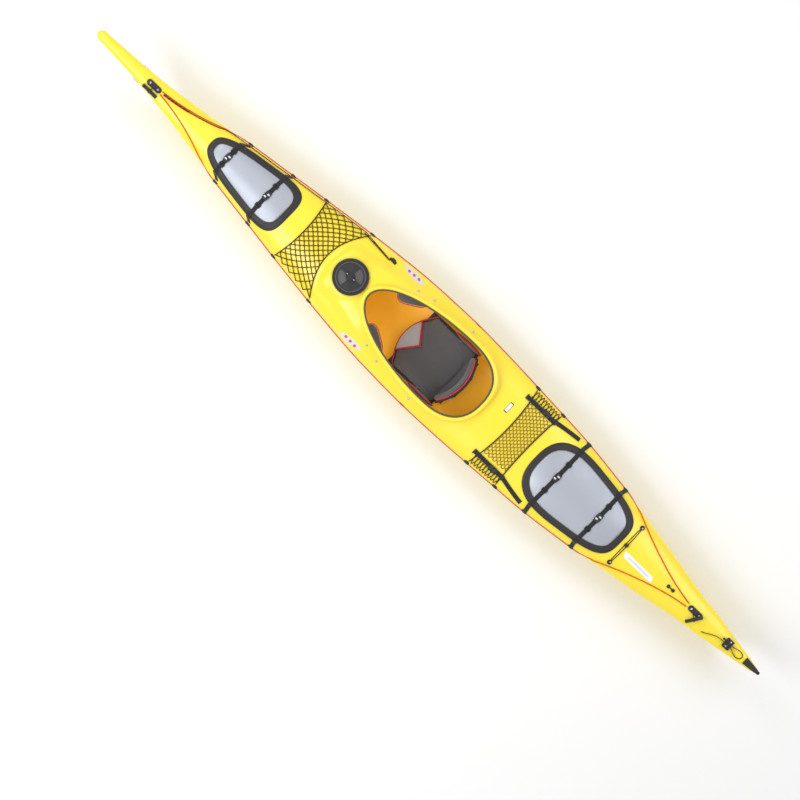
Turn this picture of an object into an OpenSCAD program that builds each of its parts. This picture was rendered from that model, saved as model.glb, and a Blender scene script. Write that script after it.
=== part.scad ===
// Touring sea kayak with hatches, cockpit fittings and deck rigging.
// +X points to the bow, +Y to port, +Z up.  The keel's flat middle rests at z = 0.

/* [Hull] */
// Overall length of the hull
hull_len = 4880; // [4780:10:5900]
// Reach of the rudder bracket behind the stern
bracket_out = 20; // [16:1:26]
// Greatest beam of the hull
hull_beam = 588; // [560:2:710]
// Height of the bow tip above the keel
bow_height = 424; // [400:1:510]
// Wall of the hull and the deck
hull_wall = 5; // [4:0.5:6]
// Half width of the flat strip under the middle of the keel
keel_flat = 45; // [30:1:60]

/* [Cockpit] */
// Length of the cockpit opening
cockpit_len = 839; // [700:1:860]
// Width of the cockpit opening
cockpit_w = 420; // [350:1:430]
// Width of the coaming's lip outside the opening
lip_w = 22; // [16:1:28]
// Length of the seat pan
seat_len = 340; // [290:1:350]
// Half width of the seat pan
seat_half = 188; // [160:1:200]
// Thickness of the seat pad
seat_pad_t = 14; // [8:1:18]
// Height of the backrest
backrest_h = 120; // [100:1:150]

/* [Hatches] */
// Length of the front hatch cover
front_hatch_len = 574; // [480:1:600]
// Width of the front hatch cover at its middle
front_hatch_w = 266; // [220:1:280]
// Length of the rear hatch cover
rear_hatch_len = 645; // [540:1:680]
// Width of the rear hatch cover at its middle
rear_hatch_w = 396; // [330:1:400]
// Width of a cover's black frame
frame_w = 30; // [22:1:36]
// Outer diameter of the round day hatch
day_hatch_d = 199; // [166:1:215]
// Depth of the pod under the day hatch
pod_depth = 110; // [60:1:130]

/* [Rigging] */
// Width of the hatch straps
strap_w = 25; // [20:1:30]
// Thickness of the webbing
strap_t = 2; // [1.5:0.1:3]
// Diameter of the deck line
line_d = 6; // [4:0.5:7]
// Diameter of the painter
painter_d = 8; // [6:0.5:9]
// Diameter of the elastic cord
elastic_d = 5; // [4:0.5:6]
// Length of the carrying toggles
toggle_len = 100; // [80:1:120]
// Diameter of the carrying toggles
toggle_d = 21; // [18:1:25]
// Length of a foot rail
rail_len = 400; // [330:1:400]
// Bore of the bow security eye
eye_bore = 12; // [10:0.5:16]
// Bore for the rudder pin in the stern bracket
rudder_bore = 10; // [8:0.5:12]

/* [Hidden] */

gap = 0.4;              // clearance between a fitting and what it sits on
yellow = [0.98, 0.80, 0.08];
black = [0.13, 0.12, 0.13];
silver = [0.72, 0.75, 0.80];
grey = [0.33, 0.33, 0.36];
steel = [0.75, 0.75, 0.77];
red = [0.85, 0.25, 0.15];

// Lines of the hull at its design size: station, half beam, keel, gunwale and deck ridge.
design_len = 4880;
design_beam = 588;
design_height = 424;
LINES = [
  [0, 28, 384, 402, 424], [60, 30, 360, 389, 417], [160, 36, 300, 366, 398],
  [300, 44, 202, 338, 370], [420, 55, 124, 312, 344], [500, 64, 82, 296, 330],
  [600, 78, 48, 276, 321], [720, 96, 31, 256, 315], [860, 119, 23, 238, 311],
  [1020, 142, 16, 229, 309], [1200, 167, 11, 222, 309], [1480, 206, 6, 214, 316],
  [1780, 245, 0, 208, 328], [2000, 269, 0, 204, 326], [2160, 283, 0, 202, 316],
  [2320, 290, 0, 200, 299], [2500, 294, 0, 199, 284], [2680, 291, 0, 199, 280],
  [2850, 284, 0, 200, 281], [3180, 265, 6, 202, 285], [3400, 250, 11, 203, 286],
  [3700, 213, 17, 205, 288], [3900, 183, 20, 208, 290], [4120, 148, 25, 216, 291],
  [4380, 98, 30, 238, 291], [4520, 78, 37, 252, 292], [4600, 65, 51, 260, 293],
  [4680, 51, 88, 267, 294], [4740, 41, 144, 274, 295], [4790, 32, 190, 279, 296],
  [4880, 16, 205, 271, 291]];

function smooth(t) = let (u = min(1, max(0, t))) u * u * (3 - 2 * u);
function mix(a, b, t) = a + (b - a) * t;
function power(v, e) = sign(v) * pow(abs(v), e);
function row_of(s) = min(len(LINES) - 2, max(0, len([for (r = LINES) if (r[0] <= s) 1]) - 1));
function slope(i, c) = let (a = max(0, i - 1), b = min(len(LINES) - 1, i + 1))
  (LINES[b][c] - LINES[a][c]) / (LINES[b][0] - LINES[a][0]);
// One column of the lines at station s, as a smooth cubic between the rows
function line_at(s, c) = let (i = row_of(s), h = LINES[i + 1][0] - LINES[i][0],
    t = (s - LINES[i][0]) / h)
  (1 + 2 * t) * pow(1 - t, 2) * LINES[i][c] + t * pow(1 - t, 2) * h * slope(i, c)
  + t * t * (3 - 2 * t) * LINES[i + 1][c] + t * t * (t - 1) * h * slope(i + 1, c);
// Rounding of the two ends, 1 over the rest of the hull
function end_round(s) = sqrt(max(0.12, 1 - pow(1 - min(1, min(s, design_len - s) / 26), 2)));
function half_beam(s) = line_at(s, 1) * end_round(s) * hull_beam / design_beam;
function z_scale() = bow_height / design_height;
function mid_z(s) = (line_at(s, 2) + line_at(s, 4)) / 2;
function round_z(s, z) = (mid_z(s) + (z - mid_z(s)) * end_round(s)) * z_scale();
function keel_z(s) = round_z(s, max(0, line_at(s, 2)));
function gunwale_z(s) = round_z(s, line_at(s, 3));
function ridge_z(s) = round_z(s, line_at(s, 4));
bow_x = (hull_len + bracket_out) / 2;
function x_at(s) = bow_x - s * hull_len / design_len;
function s_at(x) = (bow_x - x) * design_len / hull_len;

// Where things lie along the hull, as x
cockpit_x = x_at(2414);
cockpit_nose = cockpit_x + cockpit_len / 2;
widest_x = cockpit_nose - 0.698 * cockpit_len;
day_x = cockpit_nose + lip_w + 12 + day_hatch_d / 2;
day_seat_z = 350 * z_scale();
front_hatch_x = x_at(1111);
rear_hatch_x = x_at(3558);
front_bulkhead_x = x_at(1390);
rear_bulkhead_x = x_at(2905);
bulkhead_t = 12;

// Raised knee area round the day hatch, then the flat seat for the hatch itself
knee_rise = 24;
function knee(x, y) = let (s = s_at(x), y1 = abs(y), d0 = s_at(day_x))
  knee_rise * smooth((s - d0 + 150 - 85 * pow(y / 220, 2)) / 45)
  * (1 - smooth((y1 - 120 - 0.25 * max(0, s - d0)) / 55)) * (1 - smooth((s - d0 - 190) / 300));
function crown(s, y) = let (h = half_beam(s)) sqrt(max(0, 1 - pow(min(1, abs(y) / h), 2)));
function plain_deck(x, y) = let (s = s_at(x))
  gunwale_z(s) + (ridge_z(s) - gunwale_z(s)) * crown(s, y) + knee(x, y);
function deck_z(x, y) = let (r = norm([x - day_x, y]))
  mix(plain_deck(x, y), day_seat_z, 1 - smooth((r - day_hatch_d / 2 - 4) / 28));
// Height of a point that lies d off the deck, measured square to it
function above(x, y, d) = let (slope = (deck_z(x, y + 1) - deck_z(x, y - 1)) / 2)
  deck_z(x, y) + d * sqrt(1 + slope * slope);

// Two triangles of a quad, split along a-c, or along b-d when flipped
function halves(a, b, c, d, flip) = flip ? [[a, b, d], [b, c, d]] : [[a, b, c], [a, c, d]];
// Closed slab between two grids of points; with wrap the first grid index runs round a ring
module slab(top, bottom, wrap = false) {
  n = len(top);
  m = len(top[0]);
  last = wrap ? n - 1 : n - 2;
  function t(i, j) = (i % n) * m + j;
  function b(i, j) = n * m + (i % n) * m + j;
  faces = concat(
    [for (i = [0:last], j = [0:m - 2], f = halves(t(i, j), t(i + 1, j), t(i + 1, j + 1), t(i, j + 1),
      2 * j >= m - 1)) f],
    [for (i = [0:last], j = [0:m - 2], f = halves(b(i, j), b(i, j + 1), b(i + 1, j + 1), b(i + 1, j),
      2 * j >= m - 1)) f],
    [for (i = [0:last], k = [0, 1])
      k == 0 ? [t(i, 0), b(i, 0), b(i + 1, 0)] : [t(i, 0), b(i + 1, 0), t(i + 1, 0)]],
    [for (i = [0:last], k = [0, 1])
      k == 0 ? [t(i, m - 1), b(i + 1, m - 1), b(i, m - 1)]
             : [t(i, m - 1), t(i + 1, m - 1), b(i + 1, m - 1)]],
    wrap ? [] : [for (j = [0:m - 2], k = [0, 1])
      k == 0 ? [t(0, j), t(0, j + 1), b(0, j + 1)] : [t(0, j), b(0, j + 1), b(0, j)]],
    wrap ? [] : [for (j = [0:m - 2], k = [0, 1])
      k == 0 ? [t(n - 1, j), b(n - 1, j + 1), t(n - 1, j + 1)]
             : [t(n - 1, j), b(n - 1, j), b(n - 1, j + 1)]]);
  polyhedron(points = concat([for (r = top, p = r) p], [for (r = bottom, p = r) p]), faces = faces,
             convexity = 8);
}

// Round tube along a list of points
function unit(v) = v / max(norm(v), 1e-9);
module tube(pts, r, sides = 8) {
  n = len(pts);
  function dir(i) = unit(pts[min(n - 1, i + 1)] - pts[max(0, i - 1)]);
  function side(i) = let (d = dir(i), u = abs(d[2]) > 0.9 ? [1, 0, 0] : [0, 0, 1]) unit(cross(u, d));
  rings = [for (i = [0:n - 1]) let (a = side(i), b = cross(dir(i), a))
    [for (k = [0:sides - 1]) pts[i] + r * (cos(360 * k / sides) * a + sin(360 * k / sides) * b)]];
  walls = [for (i = [0:n - 2], k = [0:sides - 1], h = [0, 1])
    let (p = i * sides, q = p + sides, k1 = (k + 1) % sides)
    h == 0 ? [p + k, q + k, q + k1] : [p + k, q + k1, p + k1]];
  caps = [[for (k = [0:sides - 1]) k], [for (k = [sides - 1:-1:0]) (n - 1) * sides + k]];
  polyhedron(points = [for (r = rings, p = r) p], faces = concat(walls, caps), convexity = 6);
}

// Stations where the shells have their sections
STATIONS = [0, 6, 14, 26, 60, 100, 160, 230, 300, 360, 420, 500, 600, 720, 860, 1020, 1200, 1390,
  1560, 1640, 1680, 1710, 1740, 1780, 1830, 1880, 1930, 1980, 2040, 2090, 2130, 2172, 2220, 2320, 2500, 2680,
  2850, 3000, 3180, 3400, 3550, 3700, 3900, 4120, 4260, 4380, 4450, 4520, 4600, 4640, 4680, 4710,
  4740, 4790, 4830, 4856, 4867, 4875, 4880];
// How full the bottom's section is at a station
function fullness(s) = 1.3 + 1.2 * smooth((s - 300) / 1200) - 1.1 * smooth((s - 3500) / 1200);
function flat_at(s) = 3 + (keel_flat - 3) * smooth((s - 400) / 1100) * (1 - smooth((s - 3500) / 1000));
// Point on the bottom's section; a runs from -90 (starboard gunwale) to 90 (port gunwale)
function bottom_point(s, a, inset = 0) = let (h = half_beam(s) - inset, n = fullness(s),
    f = min(flat_at(s), h * 0.3), g = gunwale_z(s), k = keel_z(s) + inset, u = abs(a))
  [x_at(s), sign(a) * (u < 1 ? 0 : f + (h - f) * pow(sin(u), 2 / n)),
   g - (g - k) * (u < 1 ? 1 : pow(cos(u), 2 / n))];
BOTTOM_ANGLES = [-90, -80, -70, -60, -49, -38, -27, -15, -3, 0, 3, 15, 27, 38, 49, 60, 70, 80, 90];
// The hull comes in lengths with fine joints between them; the first and the last are solid
HULL_CUTS = [0, 330, 1390, 2140, 2905, 3780, 4660, 4880];
hull_joint = 0.3;
function lid_point(s, a) =
  [x_at(s), max(half_beam(s) - hull_wall, half_beam(s) / 2) * sin(a), gunwale_z(s) - 3 * cos(a)];
function inner_bottom(s, a, solid) = solid ? lid_point(s, a) : bottom_point(s, a, hull_wall);
// Half width of the hull's inside at a station and a height
function inner_half(s, z) = let (h = half_beam(s) - hull_wall, n = fullness(s), g = gunwale_z(s),
    k = keel_z(s) + hull_wall, f = min(flat_at(s), h * 0.3), c = min(1, max(0, (g - z) / (g - k))))
  f + (h - f) * pow(1 - pow(c, n), 1 / n);

// Stations of one hull length, without those that nearly meet its ends
function length_rows(i) = let (from = HULL_CUTS[i], to = HULL_CUTS[i + 1], last = len(HULL_CUTS) - 2)
  concat([i == 0 ? 0 : from + hull_joint / 2], [for (s = STATIONS) if (s > from + 4 && s < to - 4) s],
    [i == last ? to : to - hull_joint / 2]);
module hull_shell() {
  color(yellow) difference() {
    for (i = [0:len(HULL_CUTS) - 2]) let (solid = i == 0 || i == len(HULL_CUTS) - 2, ss = length_rows(i))
      slab([for (s = ss) [for (a = BOTTOM_ANGLES) inner_bottom(s, a, solid)]],
           [for (s = ss) [for (a = BOTTOM_ANGLES) bottom_point(s, a)]]);
    translate([x_at(eye_s), 100, eye_z * z_scale()]) rotate([90, 0, 0])
      cylinder(r = eye_bore / 2 + 3.3, h = 200, $fn = 48);
  }
}

DECK_ANGLES = [-90, -81, -72, -63, -54, -45, -36, -27, -18, -9, 0, 9, 18, 27, 36, 45, 54, 63, 72,
  81, 90];
function deck_wall(s) = min(hull_wall, 0.4 * half_beam(s));
function deck_top(s, a) = let (y = half_beam(s) * sin(a)) [x_at(s), y, deck_z(x_at(s), y)];
function deck_under(s, a) = let (h = half_beam(s), w = deck_wall(s), y = (h - w) * sin(a),
    y1 = h * sin(a), g = gunwale_z(s), top = deck_z(x_at(s), y1))
  [x_at(s), y, max(g, g + (top - g) * (1 - w / max(w + 1, ridge_z(s) - g)))];
// The deck takes the hull's rows, so that the two meet edge to edge
DECK_STATIONS = [for (i = [0:len(HULL_CUTS) - 2], s = length_rows(i)) s];
module deck_plate() {
  slab([for (s = DECK_STATIONS) [for (a = DECK_ANGLES) deck_top(s, a)]],
       [for (s = DECK_STATIONS) [for (a = DECK_ANGLES) deck_under(s, a)]]);
}

// Outline of a hatch cover about its centre: half length, half width at the middle, taper towards
// +X, and how square the forward and after ends are
function hatch_half(dx, l, w, taper, fore, aft) = let (t = min(1, abs(dx) / l), n = dx > 0 ? fore : aft)
  (w + taper * dx) * pow(1 - pow(t, n), 1 / n);
function hatch_point(a, l, w, taper, fore, aft) = let (n = cos(a) > 0 ? fore : aft,
    dx = l * power(cos(a), 2 / n)) [dx, (w + taper * dx) * power(sin(a), 2 / n)];
FRONT = [front_hatch_x, front_hatch_len / 2, front_hatch_w / 2, -0.142, 3, 5, 12, 11];
REAR = [rear_hatch_x, rear_hatch_len / 2, rear_hatch_w / 2, 0.125, 2.6, 4, 16, 16];
function cover_outline(h, a, inset) = let (p = hatch_point(a, h[1] - inset, h[2] - inset, h[3], h[4], h[5]))
  [h[0] + p[0], p[1]];
function cover_half(h, x, inset) = abs(x - h[0]) >= h[1] - inset ? 0
  : hatch_half(x - h[0], h[1] - inset, h[2] - inset, h[3], h[4], h[5]);
// Top of a cover's frame: flatter across than the deck below it
function frame_z(h, x, y) = let (s = s_at(x)) ridge_z(s) + 6 - 34 * pow(y / (h[2] + 30), 2);
// Top of the whole cover: a low dome inside the frame
function cover_z(h, x, y) = let (w = max(1, cover_half(h, x, frame_w)), l = h[1] - frame_w,
    u = min(1, abs(y) / w), v = min(1, abs(x - h[0]) / l))
  frame_z(h, x, y) + h[6] * (1 - pow(u, 2.5)) * (1 - pow(v, 4)) * (u < 1 && v < 1 ? 1 : 0);
RING_ANGLES = [for (i = [0:55]) i * 360 / 56];
function frame_top(h, p, k) = max(frame_z(h, p[0], p[1]) - 7 * pow(k, 3),
  deck_z(p[0], p[1]) + (k < 0.5 ? 8.6 : 6.4));
module cover_frame(h) {
  shares = [0, 0.35, 0.75, 1];
  slab([for (a = RING_ANGLES) [for (k = shares) let (p = cover_outline(h, a, frame_w * (1 - k)))
         [p[0], p[1], frame_top(h, p, k)]]],
       [for (a = RING_ANGLES) [for (k = shares) let (p = cover_outline(h, a, frame_w * (1 - k)))
         [p[0], p[1], deck_z(p[0], p[1]) + (k < 0.5 ? 5.6 : 2.8)]]], wrap = true);
}
PANEL_STEPS = [for (i = [0:20]) cos(i * 9) * 0.996];
module cover_panel(h) {
  inset = frame_w + 1.5;
  l = h[1] - inset;
  xs = [for (u = PANEL_STEPS) h[0] + l * u];
  cross_steps = [for (j = [-6:6]) sin(j * 15)];
  function point(x, v, dz) = let (y = v * cover_half(h, x, inset)) [x, y, dz];
  slab([for (x = xs) [for (v = cross_steps) let (p = point(x, v, 0)) [x, p[1], cover_z(h, x, p[1])]]],
       [for (x = xs) [for (v = cross_steps) let (p = point(x, v, 0))
         [x, p[1], frame_z(h, x, p[1]) - 5]]]);
}
// Rubber seal that stands on the deck's rim, under the frame and round the opening
module cover_seal(h) {
  slab([for (a = RING_ANGLES) [for (k = [0, 1]) let (p = cover_outline(h, a, frame_w - 2 - 10 * k))
         [p[0], p[1], deck_z(p[0], p[1]) + 5]]],
       [for (a = RING_ANGLES) [for (k = [0, 1]) let (p = cover_outline(h, a, frame_w - 2 - 10 * k))
         [p[0], p[1], deck_z(p[0], p[1]) + 2.6]]], wrap = true);
}
module hatch_opening(h) {
  linear_extrude(500)
    polygon([for (a = RING_ANGLES) cover_outline(h, a, frame_w + 14)]);
}
day_hole_r = day_hatch_d / 2 - 14;

module deck_shell() {
  color(yellow) difference() {
    deck_plate();
    hatch_opening(FRONT);
    hatch_opening(REAR);
    translate([day_x, 0, 100]) cylinder(r = day_hole_r, h = 400, $fn = 64);
    linear_extrude(500) polygon([for (a = RING_ANGLES) coaming_point(a, coaming_wall + 0.5)]);
  }
}

// Cockpit coaming
coaming_wall = 7;
fore_half = 0.698 * cockpit_len;
aft_half = cockpit_len - fore_half;
function coaming_point(a, o) = let (n = cos(a) > 0 ? 2 : 2.4)
  [widest_x + (cos(a) > 0 ? fore_half + o : aft_half + o) * power(cos(a), 2 / n),
   (cockpit_w / 2 + o) * power(sin(a), 2 / n)];
function rim_z(x) = let (d = (x - widest_x) / fore_half)
  (308 + (d > 0 ? 76 * pow(d, 1.9) : 5 * pow(d / 0.43, 2))) * z_scale();
module coaming() {
  color(yellow) slab(
    [for (a = RING_ANGLES) [for (k = [0:4]) let (o = [0, 5, 12, 18, lip_w][k], p = coaming_point(a, o))
      [p[0], p[1], rim_z(p[0]) + [0, 2, 2, 0, -4][k]]]],
    [for (a = RING_ANGLES) [for (k = [0:4]) let (o = [0, coaming_wall, coaming_wall, 14, lip_w][k],
        p = coaming_point(a, o), q = coaming_point(a, coaming_wall), low = deck_z(q[0], q[1]) - 14)
      [p[0], p[1], [low, low, rim_z(p[0]) - 7, rim_z(p[0]) - 7, rim_z(p[0]) - 7][k]]]], wrap = true);
}
// Rubber edge on the coaming's inner side
module coaming_trim() {
  color(black) slab(
    [for (a = RING_ANGLES) [for (o = [-8, -4, -gap]) let (p = coaming_point(a, o))
      [p[0], p[1], rim_z(p[0]) + (o == -4 ? 7 : 4)]]],
    [for (a = RING_ANGLES) [for (o = [-8, -4, -gap]) let (p = coaming_point(a, o))
      [p[0], p[1], rim_z(p[0]) - 14]]], wrap = true);
}

// Bulkhead that fills the inside section at x
module bulkhead(x) {
  s = s_at(x + bulkhead_t / 2);
  s2 = s_at(x - bulkhead_t / 2);
  low = [for (a = BOTTOM_ANGLES) let (p = bottom_point(s, a, hull_wall + 0.6),
    q = bottom_point(s2, a, hull_wall + 0.6)) [min(abs(p[1]), abs(q[1])) * sign(a), max(p[2], q[2])]];
  high = [for (i = [len(DECK_ANGLES) - 2:-1:1]) let (a = DECK_ANGLES[i], p = deck_under(s, a),
    q = deck_under(s2, a)) [min(abs(p[1]), abs(q[1])) * sign(a), min(p[2], q[2]) - 0.6]];
  translate([x - bulkhead_t / 2, 0, 0]) rotate([90, 0, 90]) linear_extrude(bulkhead_t)
    polygon(concat(low, high));
}
module front_bulkhead() { color(grey) bulkhead(front_bulkhead_x); }
module rear_bulkhead() { color(grey) bulkhead(rear_bulkhead_x); }

// Hatch straps: webbing over a cover and down to the gunwale
FRONT_STRAPS = [x_at(947), x_at(1237)];
REAR_STRAPS = [x_at(3393), x_at(3702)];
function strap_y(h, x, u) = let (w = cover_half(h, x, 0), e = half_beam(s_at(x)) - 9)
  abs(u) <= 1 ? u * w : sign(u) * mix(w + 1.5, e, abs(u) - 1);
function strap_z(h, x, y) = let (w = cover_half(h, x, 0))
  (abs(y) <= w + 0.1 ? max(cover_z(h, x, y), frame_z(h, x, y)) : deck_z(x, y)) + 2 * gap;
HALF_STEPS = [0.12, 0.25, 0.38, 0.5, 0.62, 0.7, 0.76, 0.85, 0.93, 1, 1.3, 1.6, 2];
STRAP_STEPS = concat([for (i = [len(HALF_STEPS) - 1:-1:0]) -HALF_STEPS[i]], [0], HALF_STEPS);
function strap_sag(h, x, y) = abs(y) <= cover_half(h, x, 0) + 0.1 ? 0 : 1.5;
module strap(h, x) {
  edge = [-strap_w / 2, 0, strap_w / 2];
  y_of = [for (u = STRAP_STEPS) strap_y(h, x, u)];
  z_of = [for (y = y_of) max([for (e = edge) strap_z(h, x + e, y)]) + strap_sag(h, x, y)];
  slab([for (i = [0:len(y_of) - 1]) [for (e = edge) [x - e, y_of[i], z_of[i] + strap_t]]],
       [for (i = [0:len(y_of) - 1]) [for (e = edge) [x - e, y_of[i], z_of[i]]]]);
}
// Side-release buckle on the middle of a strap and a slide to each side
module strap_buckles(h, x) {
  function top(y) = max([for (e = [-strap_w / 2, 0, strap_w / 2]) strap_z(h, x + e, y)]) + strap_t + gap;
  translate([x, 0, top(0) + 4]) rotate([90, 0, 0]) hull() for (k = [-1, 1])
    translate([k * strap_w / 2, 0, -24]) cylinder(r = 4, h = 48, $fn = 16);
  slide_y = 0.5 * cover_half(h, x, 0);
  tilt = atan((top(slide_y + 5) - top(slide_y - 5)) / 10);
  for (k = [-1, 1]) translate([x, k * slide_y, top(slide_y) + 0.3]) rotate([k * tilt, 0, 0])
    translate([-strap_w / 2 - 4, -9, 0]) cube([strap_w + 8, 18, 5]);
}
module front_hatch_frame() { color(black) cover_frame(FRONT); }
module front_hatch_panel() { color(silver) cover_panel(FRONT); }
module front_hatch_seal() { color(black) cover_seal(FRONT); }
module front_hatch_straps() { color(black) for (x = FRONT_STRAPS) strap(FRONT, x); }
module front_hatch_buckles() { color(black) for (x = FRONT_STRAPS) strap_buckles(FRONT, x); }
module rear_hatch_frame() { color(black) cover_frame(REAR); }
module rear_hatch_panel() { color(silver) cover_panel(REAR); }
module rear_hatch_seal() { color(black) cover_seal(REAR); }
module rear_hatch_straps() { color(black) for (x = REAR_STRAPS) strap(REAR, x); }
module rear_hatch_buckles() { color(black) for (x = REAR_STRAPS) strap_buckles(REAR, x); }

// Lug screwed to the hull's side at the gunwale; the deck line runs through its eye
lug_l = 28;
lug_h = 32;
lug_t = 12;
line_out = lug_t / 2 + 0.5;
function hull_turn(x, side) = side * atan2(half_beam(s_at(x + 5)) - half_beam(s_at(x - 5)), 10);
module lug(x, side) {
  s = s_at(x);
  y = max(half_beam(s_at(x - lug_l / 2)), half_beam(s_at(x + lug_l / 2)), half_beam(s)) ;
  translate([x, side * (half_beam(s) + gap + 0.4), gunwale_z(s)]) rotate([0, 0, hull_turn(x, side)])
    translate([0, side * lug_t / 2, 0]) difference() {
      translate([-lug_l / 2, -lug_t / 2, -lug_h + 12]) cube([lug_l, lug_t, lug_h]);
      translate([-lug_l, side * (line_out - lug_t / 2), 3]) rotate([0, 90, 0])
        cylinder(r = line_d / 2 + 0.8, h = 2 * lug_l, $fn = 24);
    }
}
module both_lugs(xs) { for (x = xs, side = [-1, 1]) lug(x, side); }
module strap_lugs() { color(black) both_lugs([x_at(979), x_at(1259), x_at(3400), x_at(3710)]); }
module net_lugs() {
  color(black) both_lugs([x_at(1478), x_at(1782), x_at(2994), x_at(3192)]);
}

// Elastic nets lie on the deck; each solid is the net's outer shape
net_gap = 1.4;
module net_solid(fore_mid, fore_edge, aft_mid, aft_edge, reach) {
  steps = [for (j = [-7:7]) sin(j * 90 / 7)];
  function edge_x(v, m, e) = x_at(mix(m, e, pow(abs(v), 2)));
  function y_of(x, v) = v * (half_beam(s_at(x)) - reach);
  grid = [for (k = [0:6]) [for (v = steps)
    let (x = mix(edge_x(v, fore_mid, fore_edge), edge_x(v, aft_mid, aft_edge), k / 6)) [x, y_of(x, v)]]];
  slab([for (r = grid) [for (p = r) [p[0], p[1], deck_z(p[0], p[1]) + net_gap + elastic_d]]],
       [for (r = grid) [for (p = r) [p[0], p[1], deck_z(p[0], p[1]) + net_gap]]]);
}
module front_net() { color(black) net_solid(1510, 1484, 1690, 1776, 12); }
module rear_net() { color(black) net_solid(3024, 3000, 3172, 3186, 16); }

// Two fore-and-aft webbing straps beside the rear net
web_y = 203;
module web_strip(side) {
  ss = [for (i = [0:14]) 2978 + i * 15];
  function mid(s) = side * web_y;
  top_gap = net_gap + elastic_d + 0.3;
  slab([for (s = ss) [for (e = [-12, 0, 12]) let (y = mid(s) + e)
         [x_at(s), y, deck_z(x_at(s), y) + top_gap + strap_t]]],
       [for (s = ss) [for (e = [-12, 0, 12]) let (y = mid(s) + e)
         [x_at(s), y, deck_z(x_at(s), y) + top_gap]]]);
}
module rear_webbing() {
  color(black) for (side = [-1, 1]) {
    web_strip(side);
    on_deck(x_at(3080), side * web_y, net_gap + elastic_d + strap_t + 0.6)
      translate([-22, -16, 0]) cube([44, 32, 8]);
  }
}

// Puts its children on the deck at (x, y), square to the surface
module on_deck(x, y, lift = gap) {
  dx = (deck_z(x + 6, y) - deck_z(x - 6, y)) / 12;
  dy = (deck_z(x, y + 6) - deck_z(x, y - 6)) / 12;
  translate([x, y, deck_z(x, y)]) rotate([atan(dy), -atan(dx), 0]) translate([0, 0, lift]) children();
}

// Round day hatch: fixed ring, lid that turns in it, grip on the lid and a pod below
ring_h = 16;
lid_r = day_hatch_d / 2 - 10;
module day_hatch_ring() {
  color(black) translate([day_x, 0, day_seat_z + gap]) difference() {
    union() {
      cylinder(r = day_hatch_d / 2, h = ring_h, $fn = 96);
      translate([0, 0, -22]) cylinder(r = day_hole_r - 0.8, h = 24, $fn = 96);
    }
    translate([0, 0, -30]) cylinder(r = day_hole_r - 6, h = 60, $fn = 96);
    translate([0, 0, ring_h - 8]) cylinder(r = lid_r, h = 20, $fn = 96);
  }
}
module day_hatch_lid() {
  color(black) translate([day_x, 0, day_seat_z + gap + ring_h - 7.6]) difference() {
    rotate_extrude($fn = 96) polygon([[0, 0], [lid_r - 0.6, 0], [lid_r - 0.6, 10], [lid_r - 6, 13],
      [lid_r - 14, 13], [lid_r - 18, 11], [30, 16], [0, 17]]);
    translate([0, 0, -1]) cylinder(r = day_hole_r - 10, h = 6, $fn = 96);
  }
}
module day_hatch_grip() {
  color(black) translate([day_x, 0, day_seat_z + gap + ring_h - 7.6 + 17 + gap]) {
    cylinder(r = 20, h = 5, $fn = 48);
    hull() for (k = [-1, 1]) translate([k * 34, 0, 5]) cylinder(r = 7, h = 7, $fn = 24);
  }
}
module day_hatch_pod() {
  color(grey) translate([day_x, 0, day_seat_z - 22 - pod_depth]) difference() {
    cylinder(r1 = day_hole_r - 8, r2 = day_hole_r - 1.2, h = pod_depth + 21.6 - 22, $fn = 64);
    translate([0, 0, 3]) cylinder(r1 = day_hole_r - 11, r2 = day_hole_r - 4, h = pod_depth + 30, $fn = 64);
  }
}

// Carrying handle fittings, their screws, toggles and toggle cords
bow_fit_x = x_at(403);
stern_fit_x = x_at(4427);
fit_len = 96;
fit_w = 34;
fit_h = 14;
function fit_lift(x) = x > 0 ? 1.3 : 0.6;
screw_off = 26;
module handle_fitting(x) {
  on_deck(x, 0, fit_lift(x)) difference() {
    hull() {
      for (k = [-1, 1]) translate([k * (fit_len - fit_w) / 2, 0, 0]) cylinder(r = fit_w / 2, h = 5, $fn = 32);
      translate([-14, -11, 0]) cube([28, 22, fit_h]);
    }
    translate([0, 30, 8]) rotate([90, 0, 0]) cylinder(r = 3.6, h = 60, $fn = 24);
    for (k = [-1, 1]) translate([k * screw_off, 0, 5.5]) cylinder(r = 8.5, h = 20, $fn = 24);
  }
}
module screw_head(r = 7.5) {
  difference() {
    rotate_extrude($fn = 32) polygon([[0, 0], [r, 0], [r * 0.9, 1.6], [r * 0.5, 3.2], [0, 3.6]]);
    translate([0, 0, 1.8]) cylinder(r = 2.2, h = 4, $fn = 6);
  }
}
module bow_fitting() { color(black) handle_fitting(bow_fit_x); }
module stern_fitting() { color(black) handle_fitting(stern_fit_x); }
module fitting_screws() {
  color(steel) for (x = [bow_fit_x, stern_fit_x], k = [-1, 1])
    on_deck(x, 0, fit_lift(x)) translate([k * screw_off, 0, 5.7]) screw_head();
}
// Toggle on its cord: where its middle lies from the fitting, then its turn and its tilt
BOW_TOGGLE = [0, 37, 5.5, 0, 0];
STERN_TOGGLE = [-19, 33, 17, 58, 15];
module toggle_bar(x, place) {
  on_deck(x, 0, 0) translate([place[0], place[1], place[2]]) rotate([0, place[4], place[3]])
    rotate([0, 90, 0]) translate([0, 0, -toggle_len / 2]) difference() {
      rotate_extrude($fn = 32) polygon([[0, 0], [toggle_d / 2 - 3, 0], [toggle_d / 2, 3],
        [toggle_d / 2, toggle_len - 3], [toggle_d / 2 - 3, toggle_len], [0, toggle_len]]);
      translate([0, 20, toggle_len / 2]) rotate([90, 0, 0]) cylinder(r = 3.4, h = 40, $fn = 24);
    }
}
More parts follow.
